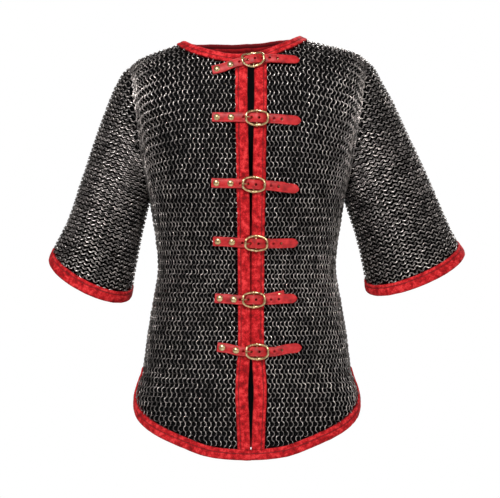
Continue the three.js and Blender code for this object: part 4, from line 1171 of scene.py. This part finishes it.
def makeStrap(closure):
    leftEnd, tipEnd = strapEnds(closure)[:2]
    tip = strap["tip"]
    places = np.concatenate([[leftEnd, leftEnd + 0.5],
                             np.arange(leftEnd + 2, tipEnd - tip, strap["station"]),
                             tipEnd - tip * np.cos(np.linspace(0, np.pi / 2, 12))])
    loops = []
    for s in places:
        half = strap["width"] / 2
        if tipEnd - s < tip:
            half = max(half * (1 - (1 - (tipEnd - s) / tip) ** 2.1) ** 0.62, 0.5)
        if s - leftEnd < 0.4:
            half -= 0.4
        origin, _, across, out = closureFrame(closure, s, smoothLift(closure, s))
        loops.append([origin + across * c + out * h for c, h in strapLoop(half, strap["thick"])])
    bm = bmesh.new()
    sweep(bm, loops)
    piece = newPiece(closure["name"] + "_strap_leather", bm, strapHide)
    holes = [s for s in strap["holes"] if s < tipEnd - tip - 1]
    cutHoles(piece, [closureFrame(closure, s, smoothLift(closure, s) + 1.2) for s in holes],
             strap["hole"])
    piece.data.shade_smooth()
    softenEdges(piece, strap["softEdge"], 1, 50)
    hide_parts(closure["name"] + "_strap")
    return leftEnd


def makeRivet(closure, leftEnd, number):
    s = leftEnd + strap["rivets"][number - 1]
    bm = bmesh.new()
    verts = [bm.verts.new((r * mm, 0, h * mm)) for r, h in rivet["profile"]]
    edges = [bm.edges.new(pair) for pair in zip(verts, verts[1:])]
    bmesh.ops.spin(bm, geom=verts + edges, cent=(0, 0, 0), axis=(0, 0, 1), angle=2 * math.pi,
                   steps=rivet["steps"], use_merge=True)
    bmesh.ops.remove_doubles(bm, verts=bm.verts[:], dist=1e-6)
    bmesh.ops.recalc_face_normals(bm, faces=bm.faces[:])
    brassPiece(closure, f"rivet_{number}", bm, closureFrame(closure, s, smoothLift(closure, s) + strap["thick"]))


def buckleRing(turn):
    x = buckle["half"] * math.cos(turn) * (1 + 0.06 * abs(math.cos(turn)) ** 14)
    y = buckle["tall"] * math.copysign(abs(math.sin(turn)) ** buckle["corners"], math.sin(turn))
    return np.array([x, y, buckle["rise"] * (x / buckle["half"]) ** 2])


def wireLoop(here, side, up, wide, tall, count):
    turns = 2 * np.pi * np.arange(count) / count
    return [here + side * wide * math.cos(t) + up * tall * math.sin(t) for t in turns]


def makeBuckle(closure):
    loops = []
    for i in range(buckle["steps"]):
        # even steps along the ring, so that its corners stay round
        turn = 2 * math.pi * i / buckle["steps"]
        turn += 0.12 * math.sin(4 * turn)
        here = buckleRing(turn)
        tangent = unit(buckleRing(turn + 0.02) - buckleRing(turn - 0.02))
        side = unit(np.cross(tangent, [0, 0, 1]))
        wide = buckle["wire"] * (1.0 + 0.18 * abs(math.sin(turn)) ** 6)
        loops.append(wireLoop(here, side, np.cross(side, tangent), wide, buckle["wire"] * 0.85, 10))
    bm = bmesh.new()
    sweep(bm, loops, closed=True)
    radius = buckle["bar"] * mm
    bmesh.ops.create_cone(bm, cap_ends=True, segments=14, radius1=radius, radius2=radius,
                          depth=2 * buckle["tall"] * mm, matrix=Matrix.Rotation(math.pi / 2, 4, "X"))
    for end in (-1, 1):
        knob = Matrix.Translation((0, end * (buckle["tall"] + 0.6) * mm, 0))
        knob = knob @ Matrix.Diagonal((1.35, 0.95, 0.95, 1))
        bmesh.ops.create_uvsphere(bm, u_segments=14, v_segments=9, radius=buckle["knob"] * mm, matrix=knob)
    brassPiece(closure, "buckle", bm, closureFrame(closure, 0, buckle["barLift"]))


def makeProng(closure):
    # wrapped over the bar, then down to the strap and up over the ring's side
    bar = buckle["bar"] + 0.3 + 0.95
    route = np.array([(x, 0.0, z) for x, z in (
        (bar + 0.15, -0.6), (bar * 0.78, bar * 0.78), (0, bar + 0.1), (-3.4, 1.5), (-7.2, 0.1), (-9.4, 1.2),
        (-10.4, 3.6), (-13, 7), (-buckle["half"] - 2.6, 12.1))])
    last = prong["stations"] - 1
    fine = alongLine(route, np.linspace(0, lengths(route)[-1], last + 1))
    for _ in range(3):
        fine[1:-1] = (fine[:-2] + fine[1:-1] * 2 + fine[2:]) / 4
    loops = []
    for i, (here, tangent) in enumerate(zip(fine, unit(np.gradient(fine, axis=0)))):
        side = np.array([0.0, 1.0, 0.0])
        radius = prong["radius"] * (0.72 + 0.28 * (last - i) / last) * (0.45 if i in (0, last) else 1)
        loops.append(wireLoop(here, side, np.cross(tangent, side), radius, radius, prong["sides"]))
    bm = bmesh.new()
    sweep(bm, loops)
    brassPiece(closure, "prong", bm, closureFrame(closure, 0, buckle["barLift"]))


def makeChape(closure):
    # the buckle's own leather, folded round the bar: the solid's shape with its edges rounded
    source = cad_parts[closure["name"] + "_chape"]
    bm = bmesh.new()
    bm.from_mesh(source.data)
    bmesh.ops.remove_doubles(bm, verts=bm.verts[:], dist=1e-6)
    bmesh.ops.dissolve_limit(bm, angle_limit=math.radians(1), verts=bm.verts[:], edges=bm.edges[:])
    piece = newPiece(closure["name"] + "_chape_leather", bm, strapHide)
    softenEdges(piece, chape["softEdge"], 2, 40)
    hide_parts(closure["name"] + "_chape")

    bm = bmesh.new()
    bmesh.ops.create_uvsphere(bm, u_segments=16, v_segments=8, radius=1.0)
    bmesh.ops.scale(bm, vec=Vector(chape["rivetHead"]) * mm, verts=bm.verts[:])
    lift = chape["lift"] + chape["thick"] + 0.5
    spot = closureFrame(closure, chape["rivet"], lift, math.radians(closure["turn"]))
    brassPiece(closure, "chape_rivet", bm, spot)


for closure in closures:
    start = makeStrap(closure)
    for number in (1, 2):
        makeRivet(closure, start, number)
    makeBuckle(closure)
    makeProng(closure)
    makeChape(closure)
print("closures made")


# The rings and the cloth behind them stand in for the coat's mail nodes, which are hidden
for name, backing in backings.items():
    node = "mail_" + name if name.startswith("sleeve") or name == "back" else "mail_front_" + name
    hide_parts(node)


# Stage, light and camera
# place, aim, size and power; metres and watts here
lights = {
    "key": ((-0.7, -2.6, 1.9), (0, 0, -0.2), (1.0, 0.8), 108),
    "fill": ((2.2, -2.4, 0.4), (0, 0, -0.4), (1.2, 1.4), 16),
    "back": ((1.2, 2.6, 1.9), (0, 0, -0.2), (1.0, 0.8), 70),
}
view = {"x": 5.4, "z": -358.0, "away": 4000.0, "across": 900.0, "sensor": 36.0}


def studio():
    bm = bmesh.new()
    bmesh.ops.create_grid(bm, x_segments=1, y_segments=1, size=2.4,
                          matrix=Matrix.Translation((0, 0, -1.15)))
    floor = newObject("studio_floor", newMesh("studio_floor", bm))
    paper = newMaterial("white_paper", {"Base Color": toLinear("f4f4f4"), "Roughness": 0.9})[0]
    floor.data.materials.append(paper)


def softLight(name, place, aim, size, power):
    lamp = bpy.data.lights.new(name, "AREA")
    lamp.shape = "RECTANGLE"
    lamp.size, lamp.size_y = size
    lamp.energy = power
    light = newObject(name, lamp)
    light.location = place
    light.rotation_euler = (Vector(aim) - Vector(place)).to_track_quat("-Z", "Y").to_euler()


studio()
bpy.context.scene.view_settings.view_transform = "Standard"
for name, settings in lights.items():
    softLight(name, *settings)

# white all round to the eye, and a soft grey to what it lights
world = bpy.data.worlds.new("studio")
bpy.context.scene.world = world
world.use_nodes = True
worldTree = world.node_tree
softGrey = worldTree.nodes["Background"]
softGrey.inputs["Color"].default_value = (1, 1, 1, 1)
softGrey.inputs["Strength"].default_value = 0.24
backdrop = addNode(worldTree, "Background", {"Color": (1, 1, 1, 1), "Strength": 1.0})
path = addNode(worldTree, "LightPath")
seen = addNode(worldTree, "MixShader", {}, {0: path.outputs["Is Camera Ray"], 1: softGrey, 2: backdrop})
plug(worldTree.nodes["World Output"], {"Surface": seen})

camera = bpy.data.cameras.new("photo")
camera.sensor_width = view["sensor"]
camera.lens = view["sensor"] * view["away"] / view["across"]
cameraObject = newObject("photo", camera)
cameraObject.location = (view["x"] * mm, -view["away"] * mm, view["z"] * mm)
cameraObject.rotation_euler = (math.pi / 2, 0, 0)
bpy.context.scene.camera = cameraObject
